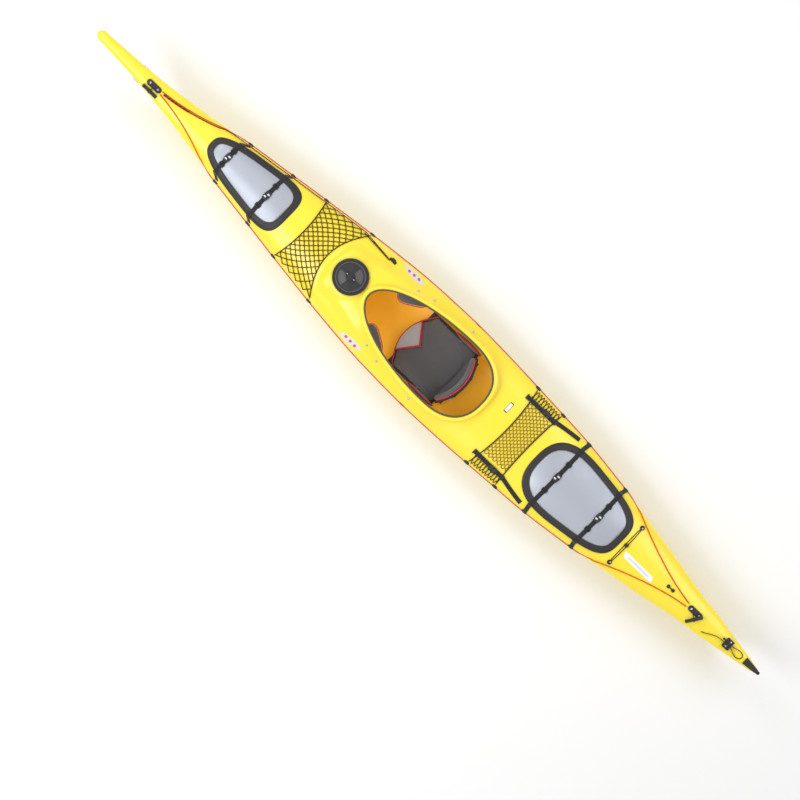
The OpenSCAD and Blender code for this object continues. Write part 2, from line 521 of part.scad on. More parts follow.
// The cord comes out of the fitting's cross hole and runs through the toggle's middle
cord_hole_z = 8;
module toggle_loop(x, place, start) {
  u = [-sin(place[3]), cos(place[3])];
  function to(k) = [place[0] + k * u[0], place[1] + k * u[1], place[2]];
  lead = to(-toggle_d / 2 - 7);
  hole_z = fit_lift(x) + cord_hole_z;
  on_deck(x, 0, 0) tube([[0, start, hole_z], [mix(0, lead[0], 0.75), mix(start, lead[1], 0.75),
    mix(hole_z, place[2], 0.75)], lead, to(-6), to(6), to(toggle_d / 2 + 3)], 2.6);
}
module bow_toggle() { color(black) toggle_bar(bow_fit_x, BOW_TOGGLE); }
module bow_toggle_cord() { color(black) toggle_loop(bow_fit_x, BOW_TOGGLE, fit_w / 2 + 1.7); }
module stern_toggle() { color(black) toggle_bar(stern_fit_x, STERN_TOGGLE); }
module stern_toggle_cord() { color(black) toggle_loop(stern_fit_x, STERN_TOGGLE, fit_w / 2 - 0.62); }

// Security eye: a bush right through the solid bow
eye_s = 300;
eye_z = 288;
eye_r = 22;
module bow_eye() {
  w = half_beam(eye_s);
  color(steel) translate([x_at(eye_s), 0, eye_z * z_scale()]) rotate([90, 0, 0]) difference() {
    union() {
      for (k = [0, 1]) mirror([0, 0, k]) translate([0, 0, w + 0.5]) cylinder(r = eye_r, h = 4, $fn = 48);
      translate([0, 0, -w - 1]) cylinder(r = eye_bore / 2 + 3, h = 2 * w + 2, $fn = 48);
    }
    translate([0, 0, -w - 10]) cylinder(r = eye_bore / 2, h = 2 * w + 20, $fn = 48);
  }
}

// Deck line round the kayak: from the bow fitting along both gunwales to the stern fitting
line_fore = 455;
line_meet = 830;
line_leave = 3850;
line_aft = 4374;
line_lift = line_d / 2 + gap + 0.8;
line_in = 9;
function line_span(s) = s < line_meet ? (s - line_fore) / (line_meet - line_fore)
  : s > line_leave ? (line_aft - s) / (line_aft - line_leave) : 1;
function line_y(s) = 10 + line_span(s) * (half_beam(s) - line_in - 10);
function line_point(s, side) = let (x = x_at(s), y = line_y(s), out = half_beam(s) + gap + 0.4 + line_out,
    e = smooth((s - line_meet) / 120) * smooth((line_leave - s) / 110))
  [x, side * mix(y, out, e), mix(above(x, y, line_lift), gunwale_z(s) + 3, e)];
LINE_STATIONS = concat([for (s = [line_fore:47:line_meet - 1]) s], [830, 850, 870, 890, 920, 950],
  [for (s = [1020:110:3600]) s], [3680, 3710, 3740, 3760, 3780, 3800, 3825, 3850],
  [for (s = [3900:79:line_aft]) s]);
module perimeter_line() {
  color(red) for (side = [-1, 1]) tube([for (s = LINE_STATIONS) line_point(s, side)], line_d / 2);
}

// Painter: from the bow fitting along the starboard gunwale, inside the deck line, to its cleat
cleat_s = 1962;
function bump(s, c, w) = 1 - smooth((abs(s - c) - w) / 25);
function painter_point(s) = let (x = x_at(s), on = line_y(min(s, line_meet)) - 9,
    in = half_beam(s) - 15.2 + 2.6 * bump(s, 1237, 20) - 30 * smooth((s - 1800) / 140),
    up = 5 * bump(s, 947, 40) + 5 * bump(s, 1237, 40),
    y = -mix(on, in, smooth((s - line_meet + 40) / 80)))
  [x, y, above(x, y, painter_d / 2 - 0.6 + up + 5 * bump(s, 1630, 160))];
PAINTER_STATIONS = concat([for (s = [470:30:cleat_s - 45]) s], [cleat_s - 25]);
module painter() {
  color(black) tube([for (s = PAINTER_STATIONS) painter_point(s)], painter_d / 2 - 1.5);
}
module painter_cleat() {
  p = painter_point(cleat_s);
  color(black) on_deck(p[0], p[1], 0.6) difference() {
    union() {
      translate([-20, -9, 0]) cube([44, 18, 4]);
      translate([-10, -7, 3]) cube([24, 14, 13]);
    }
    translate([-30, 0, 9]) rotate([0, 90, 0]) cylinder(r = painter_d / 2, h = 70, $fn = 24);
  }
}

// Paddle park: two elastics across the after deck, held by a disc at each end
park_s = 3912;
park_y = 112;
module park_bungee() {
  color(black) for (k = [-6, 6]) tube([for (j = [-6:6]) let (y = j * park_y / 6,
      x = x_at(park_s) + k) [x, y, above(x, y, elastic_d / 2 + gap + 0.3)]], elastic_d / 2 - 0.3);
}
module park_discs() {
  color(black) for (side = [-1, 1]) on_deck(x_at(park_s), side * (park_y + 14), gap) {
    cylinder(r = 13, h = 6, $fn = 32);
    translate([0, 0, 6.2]) screw_head(6);
  }
  color(black) on_deck(x_at(park_s), 0, elastic_d + 1) translate([-11, -9, 0]) cube([22, 18, 9]);
}
// Small deck eye on the after deck
module deck_eye() {
  color(black) on_deck(x_at(4243), 0, 0.8) difference() {
    hull() for (k = [-1, 1]) translate([k * 18, 0, 0]) cylinder(r = 8, h = 9, $fn = 24);
    translate([0, 20, 5]) rotate([90, 0, 0]) cylinder(r = 2.5, h = 40, $fn = 24);
  }
}

// Seat: plastic pan on a block, with its pad, between stations counted from the pan's front edge
seat_front_x = x_at(2305);
pan_t = 5;
pan_low = 34;
function pan_rise(u) = 130 * (1 - 0.75 * smooth((u - 0.62) / 0.38)) * (0.35 + 0.65 * smooth(u / 0.3));
function pan_z(x, y) = let (u = (seat_front_x - x) / seat_len)
  pan_low + 16 * pow(1 - min(1, u / 0.35), 2) * (u < 0.35 ? 1 : 0) + pan_rise(u) * pow(abs(y) / seat_half, 4);
SEAT_X = [for (i = [0:12]) seat_front_x - seat_len * i / 12];
SEAT_V = [for (j = [-9:9]) sin(j * 10) ];
module seat_slab(low, high, inset) {
  function x_of(i) = SEAT_X[i] + (i == 0 ? -inset : i == 12 ? inset : 0);
  function y_of(v) = v * (seat_half - inset);
  slab([for (i = [0:12]) [for (v = SEAT_V) [x_of(i), y_of(v), pan_z(SEAT_X[i], v * seat_half) + high]]],
       [for (i = [0:12]) [for (v = SEAT_V) [x_of(i), y_of(v), pan_z(SEAT_X[i], v * seat_half) + low]]]);
}
module seat_pan() { color(black) seat_slab(0, pan_t, 0); }
module seat_pad() { color(grey) seat_slab(pan_t + 0.8, pan_t + 0.8 + seat_pad_t, 3); }
module seat_block() {
  color(black) translate([seat_front_x - seat_len * 0.9, -45, hull_wall + 0.5])
    cube([seat_len * 0.5, 90, pan_low - hull_wall - 1]);
}

// Backrest: curved shell with a pad in front; both tilt about a hinge line behind the seat
back_x = seat_front_x - seat_len - 42;
back_half = 150;
back_low = 98;
back_curve = 46;
function back_face(y) = back_x + back_curve * pow(y / back_half, 2);
module back_slab(near, far, low, high, half) {
  steps = [for (j = [-6:6]) j / 6];
  heights = [for (k = [0:4]) mix(low, high, k / 4)];
  slab([for (v = steps) [for (z = heights) [back_face(v * half) + near, v * half, z]]],
       [for (v = steps) [for (z = heights) [back_face(v * half) + far, v * half, z]]]);
}
module backrest_shell() { color(black) back_slab(-4, 0, back_low + 8, back_low + backrest_h + 14, back_half); }
module backrest_pad() {
  color(grey) back_slab(gap, 24, back_low, back_low + backrest_h + 26, back_half + 8);
}
// Hinge of the backrest: a rod between two plates behind the seat pan, and a sleeve that turns on it
hinge_x = back_x - 12;
hinge_z = back_low - 14;
rod_r = 5;
plate_y = 88;
module backrest_hinge() {
  color(steel) translate([hinge_x, -plate_y - 6, hinge_z]) rotate([-90, 0, 0])
    cylinder(r = rod_r, h = 2 * plate_y + 12, $fn = 32);
  color(steel) for (side = [-1, 1]) translate([0, side * (plate_y + 3), 0]) {
    translate([hinge_x - 9, -3, pan_low]) cube([seat_front_x - seat_len - 0.5 - hinge_x + 9, 6,
      hinge_z + 9 - pan_low]);
  }
}
module backrest_sleeve() {
  color(black) difference() {
    union() {
      translate([hinge_x, -70, hinge_z]) rotate([-90, 0, 0]) cylinder(r = 9, h = 140, $fn = 40);
      translate([hinge_x - 2, -60, hinge_z]) cube([9.7, 120, 54]);
    }
    translate([hinge_x, -80, hinge_z]) rotate([-90, 0, 0]) cylinder(r = rod_r + 0.4, h = 160, $fn = 40);
  }
}
ratchet_y = 22;
ratchet_x = back_face(ratchet_y) - 5;
ratchet_z = back_low + backrest_h - 10;
lever_axis = 6;
module ratchet_base() {
  color(steel) translate([ratchet_x, ratchet_y, ratchet_z]) {
    translate([-6, -16, -14]) cube([6, 32, 28]);
    for (k = [-1, 1]) translate([-16, k * 14 - 1.5, -5]) cube([11, 3, 10]);
    translate([-6 - lever_axis, -14, 0]) rotate([-90, 0, 0]) cylinder(r = 2, h = 28, $fn = 24);
  }
}
module ratchet_lever() {
  color(steel) translate([ratchet_x - 6 - lever_axis, ratchet_y, ratchet_z]) difference() {
    translate([-4, -11.5, -3.5]) cube([8, 23, 28]);
    translate([0, -20, 0]) rotate([-90, 0, 0]) cylinder(r = 2.3, h = 40, $fn = 24);
  }
}

// Thigh braces: padded hooks under the deck on both sides of the opening
brace_fore = x_at(2098);
brace_aft = x_at(2256);
function cockpit_half(x) = let (d = (x - widest_x) / fore_half)
  cockpit_w / 2 * sqrt(max(0, 1 - d * d));
module thigh_brace(side) {
  steps = [for (i = [0:8]) i / 8];
  function inner(t) = mix(96, 150, smooth(t * 1.3)) + 22 * pow(2 * t - 1, 4);
  function outer(t) = mix(168, 212, t);
  function z_of(x, t) = let (q = cockpit_half(x) + coaming_wall)
    min(deck_z(x, outer(t)) - hull_wall - 4.3, deck_z(x, q) - 15.5);
  color(grey) slab(
    [for (t = steps) let (x = mix(brace_fore, brace_aft, t)) [for (k = [0:4])
      let (y = mix(inner(t), outer(t), k / 4)) [x, side * y, z_of(x, t)]]],
    [for (t = steps) let (x = mix(brace_fore, brace_aft, t)) [for (k = [0:4])
      let (y = mix(inner(t), outer(t), k / 4)) [x, side * y, z_of(x, t) - 12]]]);
}
module left_thigh_brace() { thigh_brace(1); }
module right_thigh_brace() { mirror([0, 1, 0]) thigh_brace(1); }
BOLTS = [[2172, 201], [2267, 226], [2531, 250]];
module brace_bolts() {
  color(steel) for (b = BOLTS, side = [-1, 1]) on_deck(x_at(b[0]), side * b[1]) screw_head();
}

// Round button on the hull's side, with a steel centre
button_s = 2527;
button_z = 172;
module side_buttons() {
  color(black) for (side = [-1, 1]) {
    y = inner_half(button_s, button_z * z_scale()) + hull_wall + 1.6;
    translate([x_at(button_s), side * y, button_z * z_scale()]) rotate([-side * 90, 0, 0])
      rotate([side * 3, 0, 0]) rotate_extrude($fn = 40) polygon([[0, 0], [19, 0], [17, 5], [8, 7], [0, 7]]);
  }
}

// Foot rails inside the hull, with a pedal that slides on each
rail_z = 102;
rail_mid_s = 1612;
rail_h = 20;
rail_t = 9;
function rail_y(s) = inner_half(s, (rail_z - rail_h / 2) * z_scale()) - 6;
rail_fore_y = rail_y(rail_mid_s - rail_len / 2);
rail_aft_y = rail_y(rail_mid_s + rail_len / 2);
rail_angle = atan2(rail_aft_y - rail_fore_y, rail_len);
rail_mid_y = (rail_fore_y + rail_aft_y) / 2 - 2;
module rail_frame(side) {
  translate([x_at(rail_mid_s), side * rail_mid_y, rail_z * z_scale()]) rotate([0, 0, -side * rail_angle])
    children();
}
module foot_rails() {
  color(silver) for (side = [-1, 1]) rail_frame(side) {
    translate([-rail_len / 2, side > 0 ? -rail_t : 0, -rail_h / 2]) cube([rail_len, rail_t, rail_h]);
    for (k = [-1, 0, 1]) let (off = k * 183 * rail_len / 400, s = s_at(x_at(rail_mid_s) + off),
      reach = inner_half(s, (rail_z - rail_h / 2) * z_scale()) - rail_mid_y + off * tan(rail_angle))
      translate([off, 0, -4]) rotate([-side * 90, 0, 0]) cylinder(r = 6, h = reach - 2, $fn = 24);
  }
}
pedal_gap = 0.5;
module pedal(side) {
  color(black) rail_frame(side) difference() {
    translate([-26, side > 0 ? -rail_t - 76 : -2, -48]) cube([40, rail_t + 78 - 0.1, 96]);
    translate([-60, side > 0 ? -rail_t - pedal_gap : -10, -rail_h / 2 - pedal_gap])
      cube([120, rail_t + 10 + pedal_gap, rail_h + 2 * pedal_gap]);
    translate([-60, side > 0 ? -4 : -40, rail_h / 2 + 8]) cube([120, 44, 100]);
    translate([-60, side > 0 ? -rail_t - 24 : -40, -rail_h / 2 - 108]) cube([120, 84, 100]);
    translate([-60, side > 0 ? -rail_t - 90 : rail_t + 12, 10]) cube([46, 78, 90]);
    translate([-60, side > 0 ? -rail_t - 90 : rail_t + 12, -100]) cube([46, 78, 90]);
  }
}
module left_pedal() { pedal(1); }
module right_pedal() { mirror([0, 1, 0]) pedal(1); }

// Stern bracket: cap over the stern with an upright bore for a rudder pin
stern_x = x_at(design_len);
cap_fore = 87;
module stern_bracket() {
  low = 206 * z_scale();
  high = 299 * z_scale();
  pin_x = stern_x - bracket_out / 2;
  color(black) difference() {
    union() {
      translate([stern_x - bracket_out / 2, -9, low]) cube([bracket_out / 2 - 0.6, 18, high - low + 5]);
      translate([0, 0, high]) linear_extrude(5) polygon([[stern_x + cap_fore, -21], [stern_x + 8, -13],
        [pin_x, -8], [pin_x, 8], [stern_x + 8, 13], [stern_x + cap_fore, 21]]);
      translate([pin_x, 0, low]) cylinder(r = bracket_out / 2, h = high - low + 5, $fn = 40);
    }
    translate([pin_x, 0, 100]) cylinder(r = rudder_bore / 2, h = 400, $fn = 40);
  }
}

// Stern cord: from its hole in the deck through the lock, round a loop and back through the lock
CORD = [[-2070, 52, 0], [-2082, 48, 3], [-2096, 40, 5], [-2112, 30, 6], [-2130, 20, 8],
  [-2150, 12, 11], [-2170, 8, 14], [-2192, 7, 15], [-2217, 7, 15], [-2242, 7, 15], [-2258, 12, 12],
  [-2276, 20, 6], [-2296, 23, 3], [-2312, 18, 2], [-2321, 6, 2], [-2319, -8, 2], [-2307, -16, 3],
  [-2290, -18, 6], [-2270, -14, 10], [-2256, -9, 14], [-2242, -7, 15], [-2217, -7, 15],
  [-2189, -7, 15]];
cord_d = 4.5;
function cord_point(p) = let (x = x_at(design_len * (2450 - p[0]) / 4880))
  [x, p[1], deck_z(x, p[1]) + p[2] + cord_d / 2 + 0.8];
module stern_cord() {
  color(black) tube([for (p = CORD) cord_point(p)], cord_d / 2);
  color(black) translate(cord_point(CORD[len(CORD) - 1]) + [6.4, 0, 0]) sphere(r = 6, $fn = 24);
}
lock_x = cord_point(CORD[8])[0];
lock_low = deck_z(lock_x, 0) + 1;
lock_hole_z = cord_point(CORD[8])[2];
lock_l = 46;
lock_w = 60;
lock_h = 30;
module cord_lock() {
  color(black) difference() {
    translate([lock_x - lock_l / 2, -lock_w / 2, lock_low]) cube([lock_l, lock_w, lock_h]);
    for (k = [-7, 7]) translate([lock_x - 40, k, lock_hole_z]) rotate([0, 90, 0])
      cylinder(r = cord_d / 2 + 0.9, h = 80, $fn = 24);
    translate([lock_x, 0, lock_low + lock_h - 8]) cylinder(r = 12, h = 40, $fn = 32);
  }
}
module lock_button() {
  color(black) translate([lock_x, 0, lock_low + lock_h - 1.6]) cylinder(r = 11.4, h = 14, $fn = 32);
}
module lock_spring() {
  color(steel) translate([lock_x, 0, lock_low + lock_h - 7.7]) difference() {
    cylinder(r = 8, h = 5.8, $fn = 24);
    translate([0, 0, -1]) cylinder(r = 6.2, h = 14, $fn = 24);
  }
}

hull_shell();
deck_shell();
coaming();
coaming_trim();
front_bulkhead();
rear_bulkhead();
front_hatch_frame();
front_hatch_panel();
front_hatch_seal();
front_hatch_straps();
front_hatch_buckles();
rear_hatch_frame();
rear_hatch_panel();
rear_hatch_seal();
rear_hatch_straps();
rear_hatch_buckles();
strap_lugs();
front_net();
rear_net();
net_lugs();
rear_webbing();
day_hatch_ring();
day_hatch_lid();
day_hatch_grip();
day_hatch_pod();
bow_fitting();
stern_fitting();
fitting_screws();
bow_toggle();
bow_toggle_cord();
stern_toggle();
stern_toggle_cord();
bow_eye();
perimeter_line();
painter();
painter_cleat();
park_bungee();
park_discs();
deck_eye();
seat_pan();
seat_block();
seat_pad();
backrest_hinge();
backrest_sleeve();
backrest_shell();
backrest_pad();
ratchet_base();
ratchet_lever();
left_thigh_brace();
right_thigh_brace();
brace_bolts();
side_buttons();
foot_rails();
left_pedal();
right_pedal();
stern_bracket();
stern_cord();
cord_lock();
lock_button();
lock_spring();
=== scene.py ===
"""Touring sea kayak: hull, deck, hatches, cockpit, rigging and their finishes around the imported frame."""

import math

import bmesh
import bpy
import numpy as np
from mathutils import Matrix, Vector


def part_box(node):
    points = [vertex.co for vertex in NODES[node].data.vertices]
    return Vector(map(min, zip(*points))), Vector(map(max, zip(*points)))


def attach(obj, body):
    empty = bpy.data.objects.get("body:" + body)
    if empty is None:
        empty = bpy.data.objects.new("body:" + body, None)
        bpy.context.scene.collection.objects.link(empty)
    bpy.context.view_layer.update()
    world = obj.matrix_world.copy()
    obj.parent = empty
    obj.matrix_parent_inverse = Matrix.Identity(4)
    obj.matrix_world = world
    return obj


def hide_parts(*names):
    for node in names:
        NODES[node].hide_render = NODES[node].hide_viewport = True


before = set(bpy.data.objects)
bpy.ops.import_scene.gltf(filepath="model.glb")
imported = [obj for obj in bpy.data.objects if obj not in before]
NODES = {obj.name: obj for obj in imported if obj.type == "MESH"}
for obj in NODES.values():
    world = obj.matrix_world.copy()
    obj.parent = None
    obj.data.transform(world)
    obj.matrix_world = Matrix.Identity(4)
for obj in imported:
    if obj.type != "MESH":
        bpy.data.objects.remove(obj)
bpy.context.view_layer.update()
MM = 0.001
scene = bpy.context.scene

# ---------------------------------------------------------------- camera
RIGHT, UP, BACK = (-0.717, -0.697, 0.0), (0.697, -0.717, 0.0), (0.0, 0.0, 1.0)
camera = bpy.data.objects.new("camera", bpy.data.cameras.new("camera"))
scene.collection.objects.link(camera)
camera.matrix_world = Matrix.Translation((-0.0545, 0.2859, 14.3)) @ Matrix(
    [(RIGHT[k], UP[k], BACK[k]) for k in range(3)]).to_4x4()
camera.data.lens = 118.0
camera.data.sensor_width = 36.0
camera.data.clip_end = 60.0
scene.camera = camera

# ---------------------------------------------------------------- lines of the kayak, in mm
LENGTH, BOW_X = 4880.0, 2450.0
LINES = np.array([
    [0, 28, 384, 402, 424], [60, 30, 360, 389, 417], [160, 36, 300, 366, 398],
    [300, 44, 202, 338, 370], [420, 55, 124, 312, 344], [500, 64, 82, 296, 330],
    [600, 78, 48, 276, 321], [720, 96, 31, 256, 315], [860, 119, 23, 238, 311],
    [1020, 142, 16, 229, 309], [1200, 167, 11, 222, 309], [1480, 206, 6, 214, 316],
    [1780, 245, 0, 208, 328], [2000, 269, 0, 204, 326], [2160, 283, 0, 202, 316],
    [2320, 290, 0, 200, 299], [2500, 294, 0, 199, 284], [2680, 291, 0, 199, 280],
    [2850, 284, 0, 200, 281], [3180, 265, 6, 202, 285], [3400, 250, 11, 203, 286],
    [3700, 213, 17, 205, 288], [3900, 183, 20, 208, 290], [4120, 148, 25, 216, 291],
    [4380, 98, 30, 238, 291], [4520, 78, 37, 252, 292], [4600, 65, 51, 260, 293],
    [4680, 51, 88, 267, 294], [4740, 41, 144, 274, 295], [4790, 32, 190, 279, 296],
    [4880, 16, 205, 271, 291]], float)
ROWS = LINES[:, 0]
LOW = np.maximum(0, np.arange(len(ROWS)) - 1)
HIGH = np.minimum(len(ROWS) - 1, np.arange(len(ROWS)) + 1)
SLOPES = (LINES[HIGH] - LINES[LOW]) / (ROWS[HIGH] - ROWS[LOW])[:, None]


def smooth(t):
    """Ease from 0 to 1: u squared times three less two u, with u kept between 0 and 1."""
    u = np.clip(t, 0, 1)
    return u * u * (3 - 2 * u)


def mix(a, b, t):
    return a + (b - a) * t


def power(v, e):
    """Signed power."""
    return np.sign(v) * np.abs(v) ** e


def line_at(s, c):
    """Column c of the lines at station s: a cubic through the rows with the rows' mean slopes."""
    s = np.asarray(s, float)
    i = np.clip(np.searchsorted(ROWS, s, side="right") - 1, 0, len(ROWS) - 2)
    h = ROWS[i + 1] - ROWS[i]
    t = (s - ROWS[i]) / h
    return ((1 + 2 * t) * (1 - t) ** 2 * LINES[i, c] + t * (1 - t) ** 2 * h * SLOPES[i, c]
            + t * t * (3 - 2 * t) * LINES[i + 1, c] + t * t * (t - 1) * h * SLOPES[i + 1, c])


def end_round(s):
    u = np.minimum(1, np.minimum(s, LENGTH - s) / 26)
    return np.sqrt(np.maximum(0.12, 1 - (1 - u) ** 2))


def half_beam(s):
    return line_at(s, 1) * end_round(s)


def round_z(s, z):
    middle = (line_at(s, 2) + line_at(s, 4)) / 2
    return middle + (z - middle) * end_round(s)


def keel_z(s):
    return round_z(s, np.maximum(0, line_at(s, 2)))


def gunwale_z(s):
    return round_z(s, line_at(s, 3))


def ridge_z(s):
    return round_z(s, line_at(s, 4))


def x_at(s):
    return BOW_X - s


def s_at(x):
    return BOW_X - x


OPEN_L, OPEN_W, LIP_W, WALL = 839.0, 420.0, 22.0, 5.0
NOSE_X = x_at(2414) + OPEN_L / 2
FORE_HALF = 0.698 * OPEN_L
AFT_HALF = OPEN_L - FORE_HALF
WIDEST_X = NOSE_X - FORE_HALF
DAY_D, DAY_SEAT_Z, FRAME_W, HOLE_INSET = 199.0, 350.0, 35.0, 44.0
DAY_X = NOSE_X + LIP_W + 12 + DAY_D / 2
DAY_HOLE_R = DAY_D / 2 - 14
FRONT = (x_at(1111), 287.0, 133.0, -0.142, 3.0, 4.0, 12.0)
REAR = (x_at(3558), 322.5, 198.0, 0.125, 2.6, 4.0, 16.0)


def knee(x, y):
    """Raised knee area: a ramp along the kayak times a shelf across it."""
    s, d0 = s_at(x), s_at(DAY_X)
    return (24 * smooth((s - d0 + 150 - 85 * (y / 220) ** 2) / 45)
            * (1 - smooth((np.abs(y) - 120 - 0.25 * np.maximum(0, s - d0)) / 55))
            * (1 - smooth((s - d0 - 190) / 300)))


def deck_z(x, y):
    """Height of the deck: an elliptic crown from gunwale to ridge, the knee area, and the day hatch's seat."""
    x, y = np.asarray(x, float), np.asarray(y, float)
    s = s_at(x)
    crown = np.sqrt(np.maximum(0, 1 - np.minimum(1, np.abs(y) / half_beam(s)) ** 2))
    plain = gunwale_z(s) + (ridge_z(s) - gunwale_z(s)) * crown + knee(x, y)
    r = np.hypot(x - DAY_X, y)
    return mix(plain, DAY_SEAT_Z, 1 - smooth((r - DAY_D / 2 - 4) / 28))


def above(x, y, d):
    """Height of a point that lies d off the deck, measured square to it."""
    lean = (deck_z(x, y + 1) - deck_z(x, y - 1)) / 2
    return deck_z(x, y) + d * np.sqrt(1 + lean * lean)


def bottom_point(s, a, inset=0.0):
    """Section of the bottom: a flat strip, then a superellipse up to the gunwale; a is in degrees from the keel."""
    h = half_beam(s) - inset
    n = 1.3 + 1.2 * smooth((s - 300) / 1200) - 1.1 * smooth((s - 3500) / 1200)
    flat = 3 + 42 * smooth((s - 400) / 1100) * (1 - smooth((s - 3500) / 1000))
    f = np.minimum(flat, h * 0.3)
    g, k, u = gunwale_z(s), keel_z(s) + inset, np.radians(np.abs(a))
    y = np.sign(a) * (f * np.minimum(1, np.abs(a) / 2) + (h - f) * np.sin(u) ** (2 / n))
    return np.stack(np.broadcast_arrays(x_at(s), y, g - (g - k) * np.cos(u) ** (2 / n)), -1)


# ---------------------------------------------------------------- mesh building
def grid_faces(n, m, wrap_i=False, wrap_j=False, base=0):
    """Quads of an n by m grid of points, closed round either way where asked."""
    i = np.arange(n if wrap_i else n - 1)[:, None]
    j = np.arange(m if wrap_j else m - 1)[None, :]
    i1, j1 = (i + 1) % n, (j + 1) % m
    quads = np.stack(np.broadcast_arrays(i * m + j, i * m + j1, i1 * m + j1, i1 * m + j), -1)
    return (quads.reshape(-1, 4) + base).tolist()


def tip_faces(rows, cols):
    """Triangles that close both ends of a run of rings; the two tips follow the rings' points."""
    faces = []
    for row, tip in ((0, rows * cols), (rows - 1, rows * cols + 1)):
        for k in range(cols):
            q = [row * cols + k, row * cols + (k + 1) % cols, tip]
            faces.append(q if row else q[::-1])
    return faces


def slab(top, bottom, wrap=False):
    """Closed solid between two grids of the same size; with wrap the first index runs round a ring."""
    n, m = top.shape[:2]
    up, down = np.arange(n * m).reshape(n, m), np.arange(n * m).reshape(n, m) + n * m
    order = np.concatenate([up, down[:, ::-1]], 1).ravel()
    points = np.concatenate([top.reshape(-1, 3), bottom.reshape(-1, 3)])[order]
    faces = grid_faces(n, 2 * m, wrap, True)
    if not wrap:
        for row, turn in ((0, 1), (n - 1, -1)):
            b = row * 2 * m
            faces += [[b + j, b + j + 1, b + 2 * m - 2 - j, b + 2 * m - 1 - j][::turn] for j in range(m - 1)]
    return points, faces, None


def tube(path, r, sides=12, per_m=40.0, flat=1.0):
    """Round rod along a path: rings square to it; the map runs round it and along it in metres times per_m."""
    p = np.asarray(path, float)
    d = np.gradient(p, axis=0)
    d /= np.linalg.norm(d, axis=1)[:, None]
    ref = np.where(np.abs(d[:, 2:]) > 0.95, [[1.0, 0, 0]], [[0, 0, 1.0]])
    side = np.cross(ref, d)
    side /= np.linalg.norm(side, axis=1)[:, None]
    up = np.cross(d, side)
    a = np.linspace(0, 2 * np.pi, sides, endpoint=False)[None, :]
    run = np.concatenate([[0], np.cumsum(np.linalg.norm(np.diff(p, axis=0), axis=1))])
    rr = np.broadcast_to(r, (len(p),))[:, None]
    ring = (p[:, None] + (rr * np.cos(a))[..., None] * side[:, None]
            + (flat * rr * np.sin(a))[..., None] * up[:, None])
    v = np.broadcast_to(run[:, None] * MM * per_m, ring.shape[:2])
    u = np.broadcast_to(a / (2 * np.pi), ring.shape[:2])
    n = len(p)
    points = np.concatenate([ring.reshape(-1, 3), p[:1] - d[:1] * rr[0] * 0.35, p[-1:] + d[-1:] * rr[-1] * 0.35])
    uv = np.concatenate([np.stack([u, v], -1).reshape(-1, 2), [[0.5, 0.0]], [[0.5, v[-1, 0]]]])
    return points, grid_faces(n, sides, False, True) + tip_faces(n, sides), uv


def block(centre, size, round_x=0.35, round_z=0.35, n=20, turn=None):
    """Rounded block: a superellipsoid with two squareness powers, turned by a 3 by 3 matrix."""
    u = np.linspace(-np.pi / 2, np.pi / 2, n)[1:-1, None]
    v = np.linspace(-np.pi, np.pi, 2 * n, endpoint=False)[None, :]
    cu = power(np.cos(u), round_z)
    shape = np.stack(np.broadcast_arrays(cu * power(np.cos(v), round_x), cu * power(np.sin(v), round_x),
                                         power(np.sin(u), round_z) + 0 * v), -1)
    points = np.concatenate([shape.reshape(-1, 3), [[0, 0, -1.0]], [[0, 0, 1.0]]]) * np.asarray(size) / 2
    if turn is not None:
        points = points @ np.asarray(turn).T
    rows, cols = shape.shape[:2]
    faces = grid_faces(rows, cols, False, True) + tip_faces(rows, cols)
    return points + np.asarray(centre), faces, None


def resample(points, step):
    """Even points along a smooth curve through the given points (Catmull-Rom, then equal arc steps)."""
    p = np.asarray(points, float)
    q = np.concatenate([[2 * p[0] - p[1]], p, [2 * p[-1] - p[-2]]])
    t = np.linspace(0, 1, 12, endpoint=False)[:, None]
    parts = [0.5 * ((2 * q[i]) + (q[i + 1] - q[i - 1]) * t + (2 * q[i - 1] - 5 * q[i] + 4 * q[i + 1] - q[i + 2]) * t ** 2
                    + (-q[i - 1] + 3 * q[i] - 3 * q[i + 1] + q[i + 2]) * t ** 3) for i in range(1, len(q) - 2)]
    fine = np.concatenate(parts + [p[-1:]])
    run = np.concatenate([[0], np.cumsum(np.linalg.norm(np.diff(fine, axis=0), axis=1))])
    n = max(3, int(run[-1] / step) + 1)
    return np.stack([np.interp(np.linspace(0, run[-1], n), run, fine[:, k]) for k in range(3)], -1)


def over_deck(s, y, lift):
    """Path at stations s and offsets y, at a lift off the deck."""
    return np.stack([x_at(s), y, above(x_at(s), y, lift)], -1)


def deck_turn(x, y):
    """Turn that lays a piece's own XY plane on the deck at (x, y)."""
    dx = float(deck_z(x + 6, y) - deck_z(x - 6, y)) / 12
    dy = float(deck_z(x, y + 6) - deck_z(x, y - 6)) / 12
    return np.array(Matrix.Rotation(-math.atan(dx), 3, "Y") @ Matrix.Rotation(math.atan(dy), 3, "X"))


def on_deck(shape, x, y, lift=0.4, spin=None):
    """Shape (points, faces, map) laid on the deck at (x, y), first turned by spin."""
    points = shape[0] if spin is None else shape[0] @ np.asarray(spin).T
    turn = deck_turn(x, y)
    return ((points + [0, 0, lift]) @ turn.T + [x, y, float(deck_z(x, y))], shape[1], shape[2])


def turned(shape, matrix, move=(0, 0, 0)):
    return shape[0] @ np.asarray(matrix).T + np.asarray(move), shape[1], shape[2]


